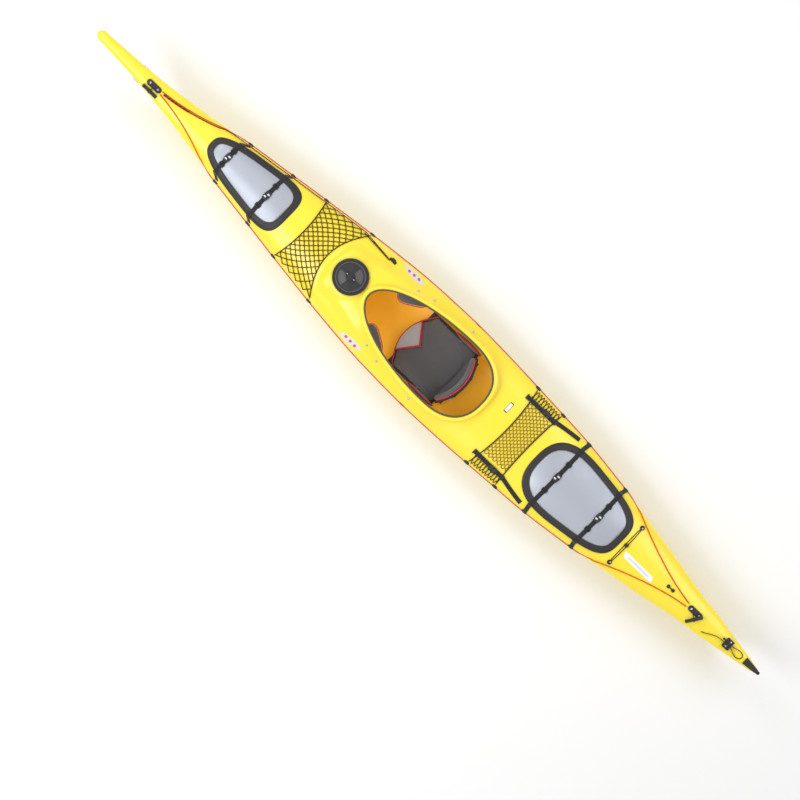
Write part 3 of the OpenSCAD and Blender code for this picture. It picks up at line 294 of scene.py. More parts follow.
def make_mesh(name, shapes):
    """One mesh, in metres, from shapes given in mm, with their maps joined."""
    points, faces, maps, base = [], [], [], 0
    for p, f, uv in shapes:
        points.append(p)
        faces += [[v + base for v in face] for face in f]
        maps.append(np.zeros((len(p), 2)) if uv is None else uv)
        base += len(p)
    mesh = bpy.data.meshes.new(name)
    mesh.from_pydata((np.concatenate(points) * MM).tolist(), [], faces)
    loops = np.zeros(len(mesh.loops), int)
    mesh.loops.foreach_get("vertex_index", loops)
    layer = mesh.uv_layers.new(name="cloth")
    layer.data.foreach_set("uv", np.concatenate(maps)[loops].astype(np.float32).ravel())
    mesh.update()
    obj = bpy.data.objects.new(name, mesh)
    scene.collection.objects.link(obj)
    return obj


def outward(obj):
    """Turns every closed shell's faces outwards."""
    bm = bmesh.new()
    bm.from_mesh(obj.data)
    bmesh.ops.recalc_face_normals(bm, faces=bm.faces)
    bm.to_mesh(obj.data)
    bm.free()


def shade(obj, angle=40.0):
    """Smooth shading with hard edges above the angle."""
    mesh = obj.data
    mesh.shade_smooth()
    mesh.set_sharp_from_angle(angle=math.radians(angle))


def apply_modifiers(obj):
    """Replaces the mesh by its evaluated copy and drops the modifiers."""
    deps = bpy.context.evaluated_depsgraph_get()
    mesh = bpy.data.meshes.new_from_object(obj.evaluated_get(deps))
    obj.modifiers.clear()
    old = obj.data
    obj.data = mesh
    mesh.name = obj.name
    bpy.data.meshes.remove(old)


def piece(name, shapes, material, body="root", nodes=(), angle=40.0):
    """A finished piece: its mesh, finish, body and the CAD nodes that it stands for."""
    obj = make_mesh(name, shapes if isinstance(shapes, list) else [shapes])
    outward(obj)
    shade(obj, angle)
    obj.data.materials.append(material)
    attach(obj, body)
    if nodes:
        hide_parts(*nodes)
    return obj


# ---------------------------------------------------------------- shared finish groups
def new_group(name, inputs, outputs):
    """Empty shader group with named sockets given as (name, kind, default)."""
    group = bpy.data.node_groups.new(name, "ShaderNodeTree")
    for label, kind, value in inputs:
        socket = group.interface.new_socket(label, in_out="INPUT", socket_type="NodeSocket" + kind)
        if value is not None:
            socket.default_value = value
    for label, kind in outputs:
        group.interface.new_socket(label, in_out="OUTPUT", socket_type="NodeSocket" + kind)
    return group, group.nodes.new("NodeGroupInput"), group.nodes.new("NodeGroupOutput")


def node(tree, kind, links=(), **values):
    """Adds a node; links gives (input, socket) pairs, values sets properties."""
    n = tree.nodes.new("ShaderNode" + kind)
    for key, value in values.items():
        setattr(n, key, value)
    for key, source in links:
        if hasattr(source, "links"):
            tree.links.new(source, n.inputs[key])
        else:
            n.inputs[key].default_value = source
    return n


def build_grain():
    """Moulded finish: broad colour drift, fine speckle, long scratches, roughness change and bump height."""
    g, i, o = new_group("moulded_grain", [
        ("Colour", "Color", (1, 1, 1, 1)), ("Shade", "Color", (0, 0, 0, 1)), ("Drift", "Float", 0.15),
        ("Speckle", "Float", 0.1), ("Speckle size", "Float", 900.0), ("Scratch", "Float", 0.1),
        ("Rough low", "Float", 0.25), ("Rough high", "Float", 0.4)],
        [("Colour", "Color"), ("Roughness", "Float"), ("Height", "Float")])
    place = node(g, "TexCoord").outputs["Object"]
    broad = node(g, "TexNoise", [("Vector", place), ("Scale", 5.0), ("Detail", 4.0), ("Roughness", 0.6)])
    fine = node(g, "TexNoise", [("Vector", place), ("Scale", i.outputs["Speckle size"]), ("Detail", 2.0)])
    long = node(g, "Mapping", [("Vector", place), ("Scale", (6.0, 260.0, 260.0))])
    lines = node(g, "TexNoise", [("Vector", long.outputs[0]), ("Scale", 1.0), ("Detail", 5.0), ("Roughness", 0.75)])
    marks = node(g, "MapRange", [("Value", lines.outputs["Fac"]), ("From Min", 0.60), ("From Max", 0.74)])
    scratch = node(g, "Math", [(0, marks.outputs[0]), (1, i.outputs["Scratch"])], operation="MULTIPLY")
    d = node(g, "Math", [(0, broad.outputs["Fac"]), (1, i.outputs["Drift"])], operation="MULTIPLY")
    sp = node(g, "Math", [(0, fine.outputs["Fac"]), (1, i.outputs["Speckle"])], operation="MULTIPLY")
    total = node(g, "Math", [(0, d.outputs[0]), (1, sp.outputs[0])], operation="ADD")
    total = node(g, "Math", [(0, total.outputs[0]), (1, scratch.outputs[0])], operation="ADD", use_clamp=True)
    tint = node(g, "MixRGB", [("Fac", total.outputs[0]), ("Color1", i.outputs["Colour"]),
                              ("Color2", i.outputs["Shade"])])
    rough = node(g, "MapRange", [("Value", broad.outputs["Fac"]), ("From Min", 0.3), ("From Max", 0.7),
                                 ("To Min", i.outputs["Rough low"]), ("To Max", i.outputs["Rough high"])])
    rough2 = node(g, "Math", [(0, rough.outputs[0]), (1, scratch.outputs[0])], operation="ADD", use_clamp=True)
    height = node(g, "Math", [(0, fine.outputs["Fac"]), (1, scratch.outputs[0])], operation="SUBTRACT")
    g.links.new(tint.outputs[0], o.inputs["Colour"])
    g.links.new(rough2.outputs[0], o.inputs["Roughness"])
    g.links.new(height.outputs[0], o.inputs["Height"])
    return g


def build_weave():
    """Plain weave on a piece's own map or place: two crossed sets of threads, painted shade in the hollows between
    them mixed with a random cloud, and their height.
    """
    g, i, o = new_group("woven_threads", [
        ("Vector", "Vector", None), ("Across", "Float", 10.0), ("Along", "Float", 10.0),
        ("Colour", "Color", (1, 1, 1, 1)), ("Shade", "Color", (0, 0, 0, 1))],
        [("Colour", "Color"), ("Roughness", "Float"), ("Height", "Float")])
    part = node(g, "SeparateXYZ", [("Vector", i.outputs["Vector"])])
    waves = []
    for axis, count in (("X", "Across"), ("Y", "Along")):
        turn = node(g, "Math", [(0, part.outputs[axis]), (1, i.outputs[count])], operation="MULTIPLY")
        turn = node(g, "Math", [(0, turn.outputs[0]), (1, 2 * math.pi)], operation="MULTIPLY")
        waves.append(node(g, "Math", [(0, turn.outputs[0])], operation="SINE").outputs[0])
    both = node(g, "Math", [(0, waves[0]), (1, waves[1])], operation="MULTIPLY")
    height = node(g, "MapRange", [("Value", both.outputs[0]), ("From Min", -1.0), ("From Max", 1.0)])
    cloud = node(g, "TexNoise", [("Vector", i.outputs["Vector"]), ("Scale", 3.0), ("Detail", 4.0)])
    # Painted shade: the thread colour turns to the Shade colour where the weave is low, between the threads, and where
    # a random cloud is low.
    hollow_shade_and_tone = node(g, "Math", [(0, height.outputs[0]), (1, cloud.outputs["Fac"])], operation="MULTIPLY")
    tint = node(g, "MixRGB", [("Fac", hollow_shade_and_tone.outputs[0]), ("Color1", i.outputs["Shade"]),
                              ("Color2", i.outputs["Colour"])])
    rough = node(g, "MapRange", [("Value", height.outputs[0]), ("To Min", 0.95), ("To Max", 0.7)])
    g.links.new(tint.outputs[0], o.inputs["Colour"])
    g.links.new(rough.outputs[0], o.inputs["Roughness"])
    g.links.new(height.outputs[0], o.inputs["Height"])
    return g


def build_lay():
    """Rope or braid on the map: strands that wind round, in two colours, with painted shade in the grooves between
    them, and their height.
    """
    g, i, o = new_group("rope_lay", [
        ("Strands", "Float", 2.0), ("Colour", "Color", (1, 1, 1, 1)), ("Second", "Color", (0, 0, 0, 1)),
        ("Share", "Float", 0.5)], [("Colour", "Color"), ("Roughness", "Float"), ("Height", "Float")])
    uv = node(g, "UVMap", uv_map="cloth")
    part = node(g, "SeparateXYZ", [("Vector", uv.outputs[0])])
    round_ = node(g, "Math", [(0, part.outputs["X"]), (1, i.outputs["Strands"])], operation="MULTIPLY")
    wave = node(g, "Math", [(0, round_.outputs[0]), (1, part.outputs["Y"])], operation="ADD")
    saw = node(g, "Math", [(0, wave.outputs[0])], operation="FRACT")
    mask = node(g, "Math", [(0, saw.outputs[0]), (1, i.outputs["Share"])], operation="GREATER_THAN")
    back = node(g, "Math", [(0, round_.outputs[0]), (1, part.outputs["Y"])], operation="SUBTRACT")
    a = node(g, "Math", [(0, wave.outputs[0]), (1, 6 * math.pi)], operation="MULTIPLY")
    a = node(g, "Math", [(0, a.outputs[0])], operation="SINE")
    b = node(g, "Math", [(0, back.outputs[0]), (1, 6 * math.pi)], operation="MULTIPLY")
    b = node(g, "Math", [(0, b.outputs[0])], operation="SINE")
    both = node(g, "Math", [(0, a.outputs[0]), (1, b.outputs[0])], operation="MULTIPLY")
    height = node(g, "MapRange", [("Value", both.outputs[0]), ("From Min", -1.0), ("From Max", 1.0)])
    tint = node(g, "MixRGB", [("Fac", mask.outputs[0]), ("Color1", i.outputs["Colour"]),
                              ("Color2", i.outputs["Second"])])
    # Painted shade: the strand colour is darkened to 0.6 of its value in the low grooves between strands.
    dark = node(g, "MapRange", [("Value", height.outputs[0]), ("To Min", 0.6), ("To Max", 1.0)])
    groove_shaded_colour = node(g, "HueSaturation", [("Color", tint.outputs[0]), ("Value", dark.outputs[0])])
    rough = node(g, "MapRange", [("Value", height.outputs[0]), ("To Min", 0.9), ("To Max", 0.65)])
    g.links.new(groove_shaded_colour.outputs[0], o.inputs["Colour"])
    g.links.new(rough.outputs[0], o.inputs["Roughness"])
    g.links.new(height.outputs[0], o.inputs["Height"])
    return g


GRAIN, WEAVE, LAY = build_grain(), build_weave(), build_lay()


def start_material(name, metallic=0.0, coat=0.0, sheen=0.0, specular=0.5):
    """Material with a shader whose even values sit on its own sockets."""
    m = bpy.data.materials.new(name)
    m.use_nodes = True
    bsdf = m.node_tree.nodes["Principled BSDF"]
    bsdf.inputs["Metallic"].default_value = metallic
    bsdf.inputs["Coat Weight"].default_value = coat
    bsdf.inputs["Coat Roughness"].default_value = 0.12
    bsdf.inputs["Sheen Weight"].default_value = sheen
    bsdf.inputs["Specular IOR Level"].default_value = specular
    return m, bsdf


def wire(m, bsdf, g, bump, distance):
    """Feeds a placed group's colour, roughness and height to the shader."""
    tree = m.node_tree
    tree.links.new(g.outputs["Colour"], bsdf.inputs["Base Color"])
    tree.links.new(g.outputs["Roughness"], bsdf.inputs["Roughness"])
    b = node(tree, "Bump", [("Height", g.outputs["Height"])])
    b.inputs["Strength"].default_value = bump
    b.inputs["Distance"].default_value = distance
    tree.links.new(b.outputs[0], bsdf.inputs["Normal"])


def placed(m, group, **values):
    g = m.node_tree.nodes.new("ShaderNodeGroup")
    g.node_tree = group
    for key, value in values.items():
        g.inputs[key.replace("_", " ")].default_value = value if np.isscalar(value) else (*value, 1.0)
    return g


def moulded(name, colour, shade_, drift=0.25, speckle=0.1, size=900.0, scratch=0.05, rough=(0.25, 0.4),
            bump=0.15, metallic=0.0, coat=0.0, specular=0.5):
    """Moulded plastic, rubber or metal with the shared grain."""
    m, bsdf = start_material(name, metallic, coat, 0.0, specular)
    g = placed(m, GRAIN, Colour=colour, Shade=shade_, Drift=drift, Speckle=speckle, Speckle_size=size,
               Scratch=scratch, Rough_low=rough[0], Rough_high=rough[1])
    wire(m, bsdf, g, bump, 0.0004)
    return m


def woven(name, colour, shade_, across, along, from_map=True, bump=0.5, sheen=0.2):
    """Woven cloth or webbing; from_map reads the piece's own map, otherwise its place."""
    m, bsdf = start_material(name, sheen=sheen, specular=0.3)
    g = placed(m, WEAVE, Across=across, Along=along, Colour=colour, Shade=shade_)
    source = node(m.node_tree, "UVMap", uv_map="cloth") if from_map else node(m.node_tree, "TexCoord")
    m.node_tree.links.new(source.outputs[0 if from_map else "Object"], g.inputs["Vector"])
    wire(m, bsdf, g, bump, 0.0005)
    return m


def rope(name, colour, second, share=0.5, strands=2.0, bump=0.6):
    """Laid or braided cord with two colours of strand."""
    m, bsdf = start_material(name, specular=0.3)
    g = placed(m, LAY, Strands=strands, Colour=colour, Second=second, Share=share)
    wire(m, bsdf, g, bump, 0.0006)
    return m


def film_finish(name, colour, shade_, drift, speckle):
    """Smooth label film."""
    return moulded(name, colour, shade_, drift, speckle, 500.0, 0.02, (0.3, 0.4), 0.05)


YELLOW, AMBER = (0.98, 0.76, 0.035), (0.80, 0.48, 0.01)
hull_yellow = moulded("hull_plastic", YELLOW, AMBER, 0.12, 0.05, 700.0, 0.05, (0.26, 0.36), 0.02, coat=0.2)
deck_yellow = moulded("deck_plastic", (0.99, 0.80, 0.045), (0.90, 0.58, 0.015), 0.14, 0.05, 700.0, 0.03, (0.24, 0.34),
                      0.02, coat=0.25)
black_plastic = moulded("black_nylon", (0.020, 0.019, 0.021), (0.065, 0.065, 0.065), 0.3, 0.15, 1200.0, 0.15,
                        (0.38, 0.55), 0.3,
                        specular=0.35)
frame_rubber = moulded("hatch_rubber", (0.021, 0.019, 0.021), (0.055, 0.055, 0.06), 0.35, 0.12, 1500.0, 0.1,
                       (0.42, 0.6), 0.3,
                       specular=0.35)
trim_rubber = moulded("edge_rubber", (0.075, 0.072, 0.075), (0.14, 0.13, 0.13), 0.3, 0.15, 1600.0, 0.08, (0.5, 0.7),
                      0.3)
silver_panel = moulded("hatch_silver", (0.50, 0.53, 0.60), (0.26, 0.28, 0.33), 0.12, 0.40, 420.0, 0.06, (0.42, 0.55),
                       0.14,
                       metallic=0.45, coat=0.05)
foam = moulded("bulkhead_foam", (0.10, 0.10, 0.11), (0.04, 0.04, 0.04), 0.3, 0.5, 260.0, 0.0, (0.85, 0.95), 0.8)
pod_plastic = moulded("pod_plastic", (0.12, 0.12, 0.13), (0.06, 0.06, 0.06), 0.3, 0.2, 800.0, 0.1, (0.4, 0.6), 0.2)
steel = moulded("stainless", (0.66, 0.66, 0.68), (0.35, 0.34, 0.33), 0.2, 0.1, 500.0, 0.3, (0.22, 0.4), 0.15,
                metallic=1.0)
rail_metal = moulded("rail_alloy", (0.62, 0.63, 0.65), (0.4, 0.4, 0.4), 0.2, 0.1, 500.0, 0.35, (0.35, 0.5), 0.2,
                     metallic=0.9)
# Pale grey film for the labels. It also serves as painted glints on the hatch buckles and the day lid's grip.
label_and_glint_grey = film_finish("label_and_glint_film", (0.72, 0.74, 0.76), (0.5, 0.5, 0.52), 0.1, 0.1)
label_red = film_finish("label_red", (0.75, 0.09, 0.07), (0.5, 0.04, 0.04), 0.15, 0.1)
webbing = woven("webbing_black", (0.055, 0.053, 0.055), (0.012, 0.012, 0.012), 9.0, 9.0)
seat_cloth = woven("seat_cloth", (0.20, 0.20, 0.215), (0.085, 0.085, 0.092), 420.0, 420.0, False, 0.45, 0.35)
panel_cloth = woven("seat_panel_cloth", (0.62, 0.64, 0.66), (0.40, 0.41, 0.43), 330.0, 330.0, False, 0.4, 0.3)
piping_red = woven("piping_red", (0.80, 0.060, 0.085), (0.52, 0.025, 0.04), 6.0, 1.0, True, 0.4, 0.2)
line_red = rope("deck_line_cord", (0.90, 0.16, 0.02), (0.62, 0.07, 0.01), 0.75)
painter_cord = rope("painter_cord", (0.60, 0.035, 0.03), (0.03, 0.028, 0.03), 0.42, 1.0)
black_cord = rope("elastic_black", (0.035, 0.030, 0.028), (0.12, 0.085, 0.03), 0.80)
gold_cord = rope("net_gold", (0.52, 0.33, 0.035), (0.16, 0.09, 0.02), 0.62)
net_brown = rope("net_brown", (0.13, 0.065, 0.012), (0.05, 0.03, 0.012), 0.60)
label_white = film_finish("label_white", (0.90, 0.91, 0.92), (0.7, 0.7, 0.72), 0.08, 0.05)
lid_grey = moulded("lid_grey", (0.070, 0.069, 0.074), (0.12, 0.12, 0.12), 0.3, 0.2, 1200.0, 0.15, (0.35, 0.5), 0.3)
lid_ring = moulded("lid_ring", (0.16, 0.16, 0.165), (0.09, 0.09, 0.09), 0.3, 0.2, 900.0, 0.15, (0.35, 0.5), 0.2)
# Inside of the hull: painted glow. It has a deeper orange than the outside and a faint orange emission, standing in
# for light shining through the yellow plastic and for the shade inside it.
hull_inside_glow = moulded("hull_inside_glow", (1.0, 0.58, 0.015), (0.75, 0.28, 0.002), 0.25, 0.05, 500.0, 0.12, (0.35, 0.5),
                      0.06)
glow = hull_inside_glow.node_tree.nodes["Principled BSDF"].inputs
glow["Emission Color"].default_value = (1.0, 0.48, 0.01, 1.0)
glow["Emission Strength"].default_value = 0.24


# ---------------------------------------------------------------- stern cord
CORD = np.array([
    [-2070, 52, 0], [-2082, 48, 3], [-2096, 40, 5], [-2112, 30, 6], [-2130, 20, 8], [-2150, 12, 11],
    [-2170, 8, 14], [-2192, 7, 15], [-2217, 7, 15], [-2242, 7, 15], [-2258, 12, 12], [-2276, 20, 6],
    [-2296, 23, 3], [-2312, 18, 2], [-2321, 6, 2], [-2319, -8, 2], [-2307, -16, 3], [-2290, -18, 6],
    [-2270, -14, 10], [-2256, -9, 14], [-2242, -7, 15], [-2217, -7, 15], [-2189, -7, 15]], float)
CORD_D = 4.5
route = np.stack([CORD[:, 0], CORD[:, 1], deck_z(CORD[:, 0], CORD[:, 1]) + CORD[:, 2] + CORD_D / 2 + 0.8], -1)
route = resample(route, 3.0)
bead_at = route[-1] + [6.4, 0, 0]
cord_bead = piece("stern_cord_knot", [block(bead_at, (12, 12, 12), 0.8, 0.8)], black_cord)
stern_cord = piece("stern_cord_line", tube(route, CORD_D / 2, 12, per_m=220), black_cord,
                   nodes=["stern_cord"])
lock_x, lock_low = -2217.0, 294.8
lock_parts = []
for k in (-1, 1):
    lock_parts.append(block((lock_x, k * 21.5, lock_low + 15), (46, 17, 30), 0.3, 0.45, 14))
lock_parts.append(block((lock_x, 0, lock_low + 7), (46, 34, 14), 0.3, 0.3, 14))
lock_parts.append(block((lock_x, 0, lock_low + 26.5), (44, 30, 6), 0.35, 0.5, 14))
for k in range(5):
    for side in (-1, 1):
        lock_parts.append(block((lock_x - 14 + 7 * k, side * 29.6, lock_low + 15), (3.2, 2.4, 20), 0.6, 0.6, 8))
cord_lock = piece("cord_lock_body", lock_parts, black_plastic, nodes=["cord_lock"])

# ---------------------------------------------------------------- padded pieces
SEAT_X, SEAT_L, SEAT_HALF, PAN_T = 145.0, 340.0, 188.0, 5.0
BACK_X, BACK_HALF, BACK_LOW, BACK_H = -237.0, 150.0, 98.0, 120.0


def pan_z(x, y):
    """Height of the seat pan: a low front lip and sides that rise with the fourth power of y."""
    u = np.clip((SEAT_X - x) / SEAT_L, 0, 1)
    rise = 130 * (1 - 0.75 * smooth((u - 0.62) / 0.38)) * (0.35 + 0.65 * smooth(u / 0.3))
    return 34 + 16 * (1 - np.minimum(1, u / 0.35)) ** 2 + rise * (np.abs(y) / SEAT_HALF) ** 4


PAD_VOXEL, PAD_PRESSURE, PAD_FRAMES = 0.004, 4.0, 20


def soft_pad(name, shapes, material, body, nodes, cap=0.006):
    """Padded piece: voxel remesh, a short inflation as cloth with the movement capped, then one subdivision."""
    obj = make_mesh(name, shapes)
    outward(obj)
    modifier = obj.modifiers.new("remesh", "REMESH")
    modifier.mode, modifier.voxel_size = "VOXEL", PAD_VOXEL
    modifier = obj.modifiers.new("even", "SMOOTH")
    modifier.factor, modifier.iterations = 0.5, 3
    apply_modifiers(obj)
    start = np.zeros(len(obj.data.vertices) * 3)
    obj.data.vertices.foreach_get("co", start)
    cloth = obj.modifiers.new("fill", "CLOTH")
    cloth.settings.use_pressure = True
    cloth.settings.uniform_pressure_force = PAD_PRESSURE
    cloth.settings.effector_weights.gravity = 0.0
    cloth.point_cache.frame_start, cloth.point_cache.frame_end = 1, PAD_FRAMES
    for number in range(1, PAD_FRAMES + 1):
        scene.frame_set(number)
    copy = obj.evaluated_get(bpy.context.evaluated_depsgraph_get()).to_mesh()
    end = np.zeros(len(copy.vertices) * 3)
    copy.vertices.foreach_get("co", end)
    obj.evaluated_get(bpy.context.evaluated_depsgraph_get()).to_mesh_clear()
    obj.modifiers.clear()
    move = (end - start).reshape(-1, 3)
    far = np.linalg.norm(move, axis=1)[:, None]
    move *= np.minimum(1, cap / np.maximum(far, 1e-9))
    obj.data.vertices.foreach_set("co", start + move.ravel())
    scene.frame_set(1)
    modifier = obj.modifiers.new("finer", "SUBSURF")
    modifier.levels = modifier.render_levels = 1
    apply_modifiers(obj)
    obj.data.shade_smooth()
    obj.data.materials.append(material)
    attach(obj, body)
    if nodes:
        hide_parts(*nodes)
    return obj


def pad_front(y):
    """Station of the seat pad's front edge: a V notch in the middle, then swept back to the sides."""
    w = np.abs(y)
    return np.where(w < 103, 2298 + (103 - w) / 103 * 79, 2298 + (w - 103) / 85 * 49)


def panel_front(y):
    return 2264 + 85 * (y / 189) ** 2


v = np.sin(np.radians(np.linspace(-90, 90, 75)))[None, :] * 183
u = np.linspace(0, 1, 61)[:, None]
sx = x_at(mix(pad_front(v), 2636.0, u))
bulge = 9.0 * (1 - (2 * u - 1) ** 8) * (1 - (v / 183) ** 8)
floor_z = pan_z(sx, v) + PAN_T + 1.6
groove = 2.2 * np.exp(-((u - 0.52) / 0.012) ** 2)
pad_top = np.stack(np.broadcast_arrays(sx, v, floor_z + 2.5 + bulge - groove), -1)
pad_low = np.stack(np.broadcast_arrays(sx, v, floor_z), -1)
soft_pad("seat_cushion", [slab(pad_top, pad_low)], seat_cloth, "root", ["seat_pad"], cap=0.004)


def lean(z):
    """How far the backrest leans aft at height z."""
    return -0.07 * (z - BACK_LOW)


def back_grid(near, low, high, half, ny=41, nz=25, channel=0.0):
    """Face of the backrest: a parabola across it, leant aft, with sewn channels across its height."""
    y = np.linspace(-half, half, ny)[None, :]
    t = np.linspace(0, 1, nz)[:, None]
    z = low + (high - low) * t + 0 * y
    z = z - 22 * t * (np.abs(y) / half) ** 3
    dip = channel * sum(np.exp(-((t - c) / 0.03) ** 2) for c in (0.28, 0.52, 0.76))
    return np.stack([BACK_X + 46 * (y / BACK_HALF) ** 2 + near + lean(z) - dip, y + 0 * t, z], -1)


back_pad = slab(back_grid(20, BACK_LOW + 4, BACK_LOW + BACK_H + 24, BACK_HALF + 4, channel=5.0),
                back_grid(8, BACK_LOW + 4, BACK_LOW + BACK_H + 24, BACK_HALF + 4))
soft_pad("backrest_cushion", [back_pad], seat_cloth, "backrest", ["backrest_pad"])


def brace_edge(t):
    """Inner edge of a thigh brace: it widens aft and hooks in at both ends."""
    return mix(96, 150, smooth(t * 1.3)) + 22 * (2 * t - 1) ** 4 - 26 * np.sin(np.pi * t)


def brace_line(t):
    """Along a thigh brace: its place, its outer edge, and the lower of the deck's and the rim's undersides."""
    x = x_at(mix(2098.0, 2256.0, t))
    outer = mix(168.0, 212.0, t)
    d = (x - WIDEST_X) / FORE_HALF
    q = OPEN_W / 2 * np.sqrt(np.maximum(0, 1 - d * d)) + 7
    return x, outer, np.minimum(deck_z(x, outer) - 9.3, deck_z(x, q) - 15.5)


def brace_shape(side, drop, thick):
    """Thigh brace: a slab that hangs by its drop under the deck, from its inner edge to its outer one."""
    t = np.linspace(0, 1, 33)[:, None]
    k = np.linspace(0, 1, 17)[None, :]
    x, outer, under = brace_line(t)
    y = side * mix(brace_edge(t), outer, k)
    top = np.stack(np.broadcast_arrays(x + 0 * k, y, under - drop + 0 * k), -1)
    return slab(top, top - [0, 0, thick])


for side, label in ((1, "left"), (-1, "right")):
    soft_pad(label + "_brace_pad", [brace_shape(side, 2.2, 8.5)], seat_cloth, "root", [label + "_thigh_brace"],
             cap=0.003)
    t = np.linspace(0, 1, 40)
    x, _, under = brace_line(t)
    piping = np.stack([x, side * (brace_edge(t) - 1.5), under - 7], -1)
    piece(label + "_brace_piping", tube(piping, 2.6, 10), piping_red)
    hip_u = np.linspace(0, 1, 30)[:, None]
    hip_v = np.linspace(-1, 1, 15)[None, :]
    hx = x_at(mix(2470.0, 2650.0, hip_u)) + 0 * hip_v
    hz = 150 + 34 * hip_v * (1 - 0.8 * (2 * hip_u - 1) ** 4)
    hy = 192 - 3 * (2 * hip_u - 1) ** 2 + 0 * hip_v
    inner = np.stack([hx, side * (hy - 12 * (1 - (2 * hip_u - 1) ** 6) * (1 - hip_v ** 6)), hz], -1)
    outer_ = np.stack([hx, side * (hy + 5), hz], -1)
    soft_pad(label + "_hip_pad", [slab(inner, outer_)], seat_cloth, "root", [], cap=0.004)
    rim = np.stack([hx[:, 0], side * (hy[:, 0] - 3), hz[:, -1] + 2], -1)
    piece(label + "_hip_piping", tube(resample(rim, 5), 3.2, 10), piping_red)

# Seat front panel, its piping and the backrest's shell and piping
y = np.linspace(-102, 102, 61)[None, :]
t = np.linspace(0, 1, 15)[:, None]
px = x_at(mix(panel_front(y), pad_front(y) + 6, t))
pz = pan_z(px, y) + PAN_T + 8 - 5 * (1 - t) ** 3 + 2.0 * np.sin(np.pi * t) - 4 * smooth((np.abs(y) - 85) / 17)
panel = np.stack(np.broadcast_arrays(px, y, pz), -1)
piece("seat_front_panel", slab(panel, panel - [0, 0, 5]), panel_cloth)
y = np.linspace(-103, 103, 61)
pipe_x = x_at(pad_front(y)) + 1
piece("seat_v_piping", tube(resample(np.stack([pipe_x, y, pan_z(pipe_x, y) + PAN_T + 13], -1), 5), 5.0, 12),
      piping_red)
y = np.linspace(-184, 184, 90)
edge_x = x_at(panel_front(y))
piece("seat_edge_piping", tube(np.stack([edge_x, y, pan_z(edge_x, y) + PAN_T + 3], -1), 3.0, 10), piping_red)
lipy = np.linspace(-186, 186, 75)[None, :]
lipt = np.linspace(0, 1, 12)[:, None]
lx = x_at(mix(panel_front(lipy) + 4, 2320.0, lipt))
lz = pan_z(lx, lipy) + PAN_T - 2 + 0 * lipt
front_lip = np.stack(np.broadcast_arrays(lx, lipy, lz), -1)
piece("seat_front_lip", slab(front_lip, front_lip - [0, 0, 4]), black_plastic)
sk_y = np.linspace(-150, 150, 61)[None, :]
sk_t = np.linspace(0, 1, 15)[:, None]
skirt_x = mix(-180.0, -236.0, sk_t) + 10 * (sk_y / 150) ** 2
skirt_z = mix(46.0, 78.0, sk_t) + 26 * (np.abs(sk_y) / 150) ** 4 - 4 * np.sin(np.pi * sk_t)
skirt = np.stack(np.broadcast_arrays(skirt_x, sk_y, skirt_z), -1)
piece("seat_back_skirt", slab(skirt, skirt - [0, 0, 3]), seat_cloth)
shell = slab(back_grid(-9, BACK_LOW + 6, BACK_LOW + BACK_H + 12, BACK_HALF + 12), back_grid(0, BACK_LOW + 6,
             BACK_LOW + BACK_H + 12, BACK_HALF + 12))
roll_y = np.linspace(-162, 162, 60)
roll_z = BACK_LOW + BACK_H + 12 - 22 * (np.abs(roll_y) / 162) ** 3
roll = np.stack([BACK_X + 46 * (roll_y / 150) ** 2 - 6 + lean(roll_z), roll_y, roll_z], -1)
piece("backrest_frame", [shell, tube(roll, 7.5, 14, flat=0.8)], black_plastic, "backrest",
      ["backrest_shell"])
pipe_y = np.linspace(-150, 150, 60)
pipe_z = BACK_LOW + BACK_H + 26 - 22 * (np.abs(pipe_y) / 154) ** 3
piece("backrest_piping", tube(np.stack([BACK_X + 46 * (pipe_y / 150) ** 2 + 4 + lean(pipe_z), pipe_y, pipe_z], -1),
                              3.6, 10),
      piping_red, "backrest")

# ---------------------------------------------------------------- hull and deck skins
ss = np.unique(np.concatenate([np.linspace(0, 30, 14), np.linspace(30, 320, 30), [329.5, 330.5],
                               np.linspace(340, 4650, 300), [4659.5, 4660.5], np.linspace(4670, 4850, 40),
                               np.linspace(4850, 4880, 14)]))[:, None]
aa = np.concatenate([np.linspace(-90, -3, 34), [0], np.linspace(3, 90, 34)])[None, :]
outer = bottom_point(ss, aa)
inner = bottom_point(ss, aa, WALL)
lid = np.stack(np.broadcast_arrays(x_at(ss), np.maximum(half_beam(ss) - WALL,
                                                        half_beam(ss) / 2) * np.sin(np.radians(aa)),
                                   gunwale_z(ss) - 3 * np.cos(np.radians(aa))), -1)
inner = np.where(((ss > 330) & (ss < 4660))[..., None], inner, lid)
hull = piece("hull_skin", slab(inner, outer), hull_yellow, nodes=["hull_shell"], angle=50)
hull.data.materials.append(hull_inside_glow)
wide, across = 2 * aa.shape[1], aa.shape[1] - 1
number = np.arange(len(hull.data.polygons))
inside = (number % wide < across) & (number < (len(ss) - 1) * wide)
hull.data.polygons.foreach_set("material_index", inside.astype(np.int32))
hull.data.update()

da = np.linspace(-90, 90, 73)[None, :]
ds = np.unique(np.concatenate([np.linspace(0, 30, 12), np.linspace(30, 1600, 110), np.linspace(1600, 2260, 84),
                               np.linspace(2260, 4850, 175), np.linspace(4850, 4880, 12)]))[:, None]
hb = half_beam(ds)
dy = hb * np.sin(np.radians(da))
dz = deck_z(x_at(ds) + 0 * da, dy)
deck_top = np.stack(np.broadcast_arrays(x_at(ds), dy, dz), -1)
dw = np.minimum(WALL, 0.4 * hb)
gz, rz = gunwale_z(ds), ridge_z(ds)
low_z = np.maximum(gz, gz + (dz - gz) * (1 - dw / np.maximum(dw + 1, rz - gz)))
deck_low = np.stack(np.broadcast_arrays(x_at(ds), (hb - dw) * np.sin(np.radians(da)), low_z), -1)


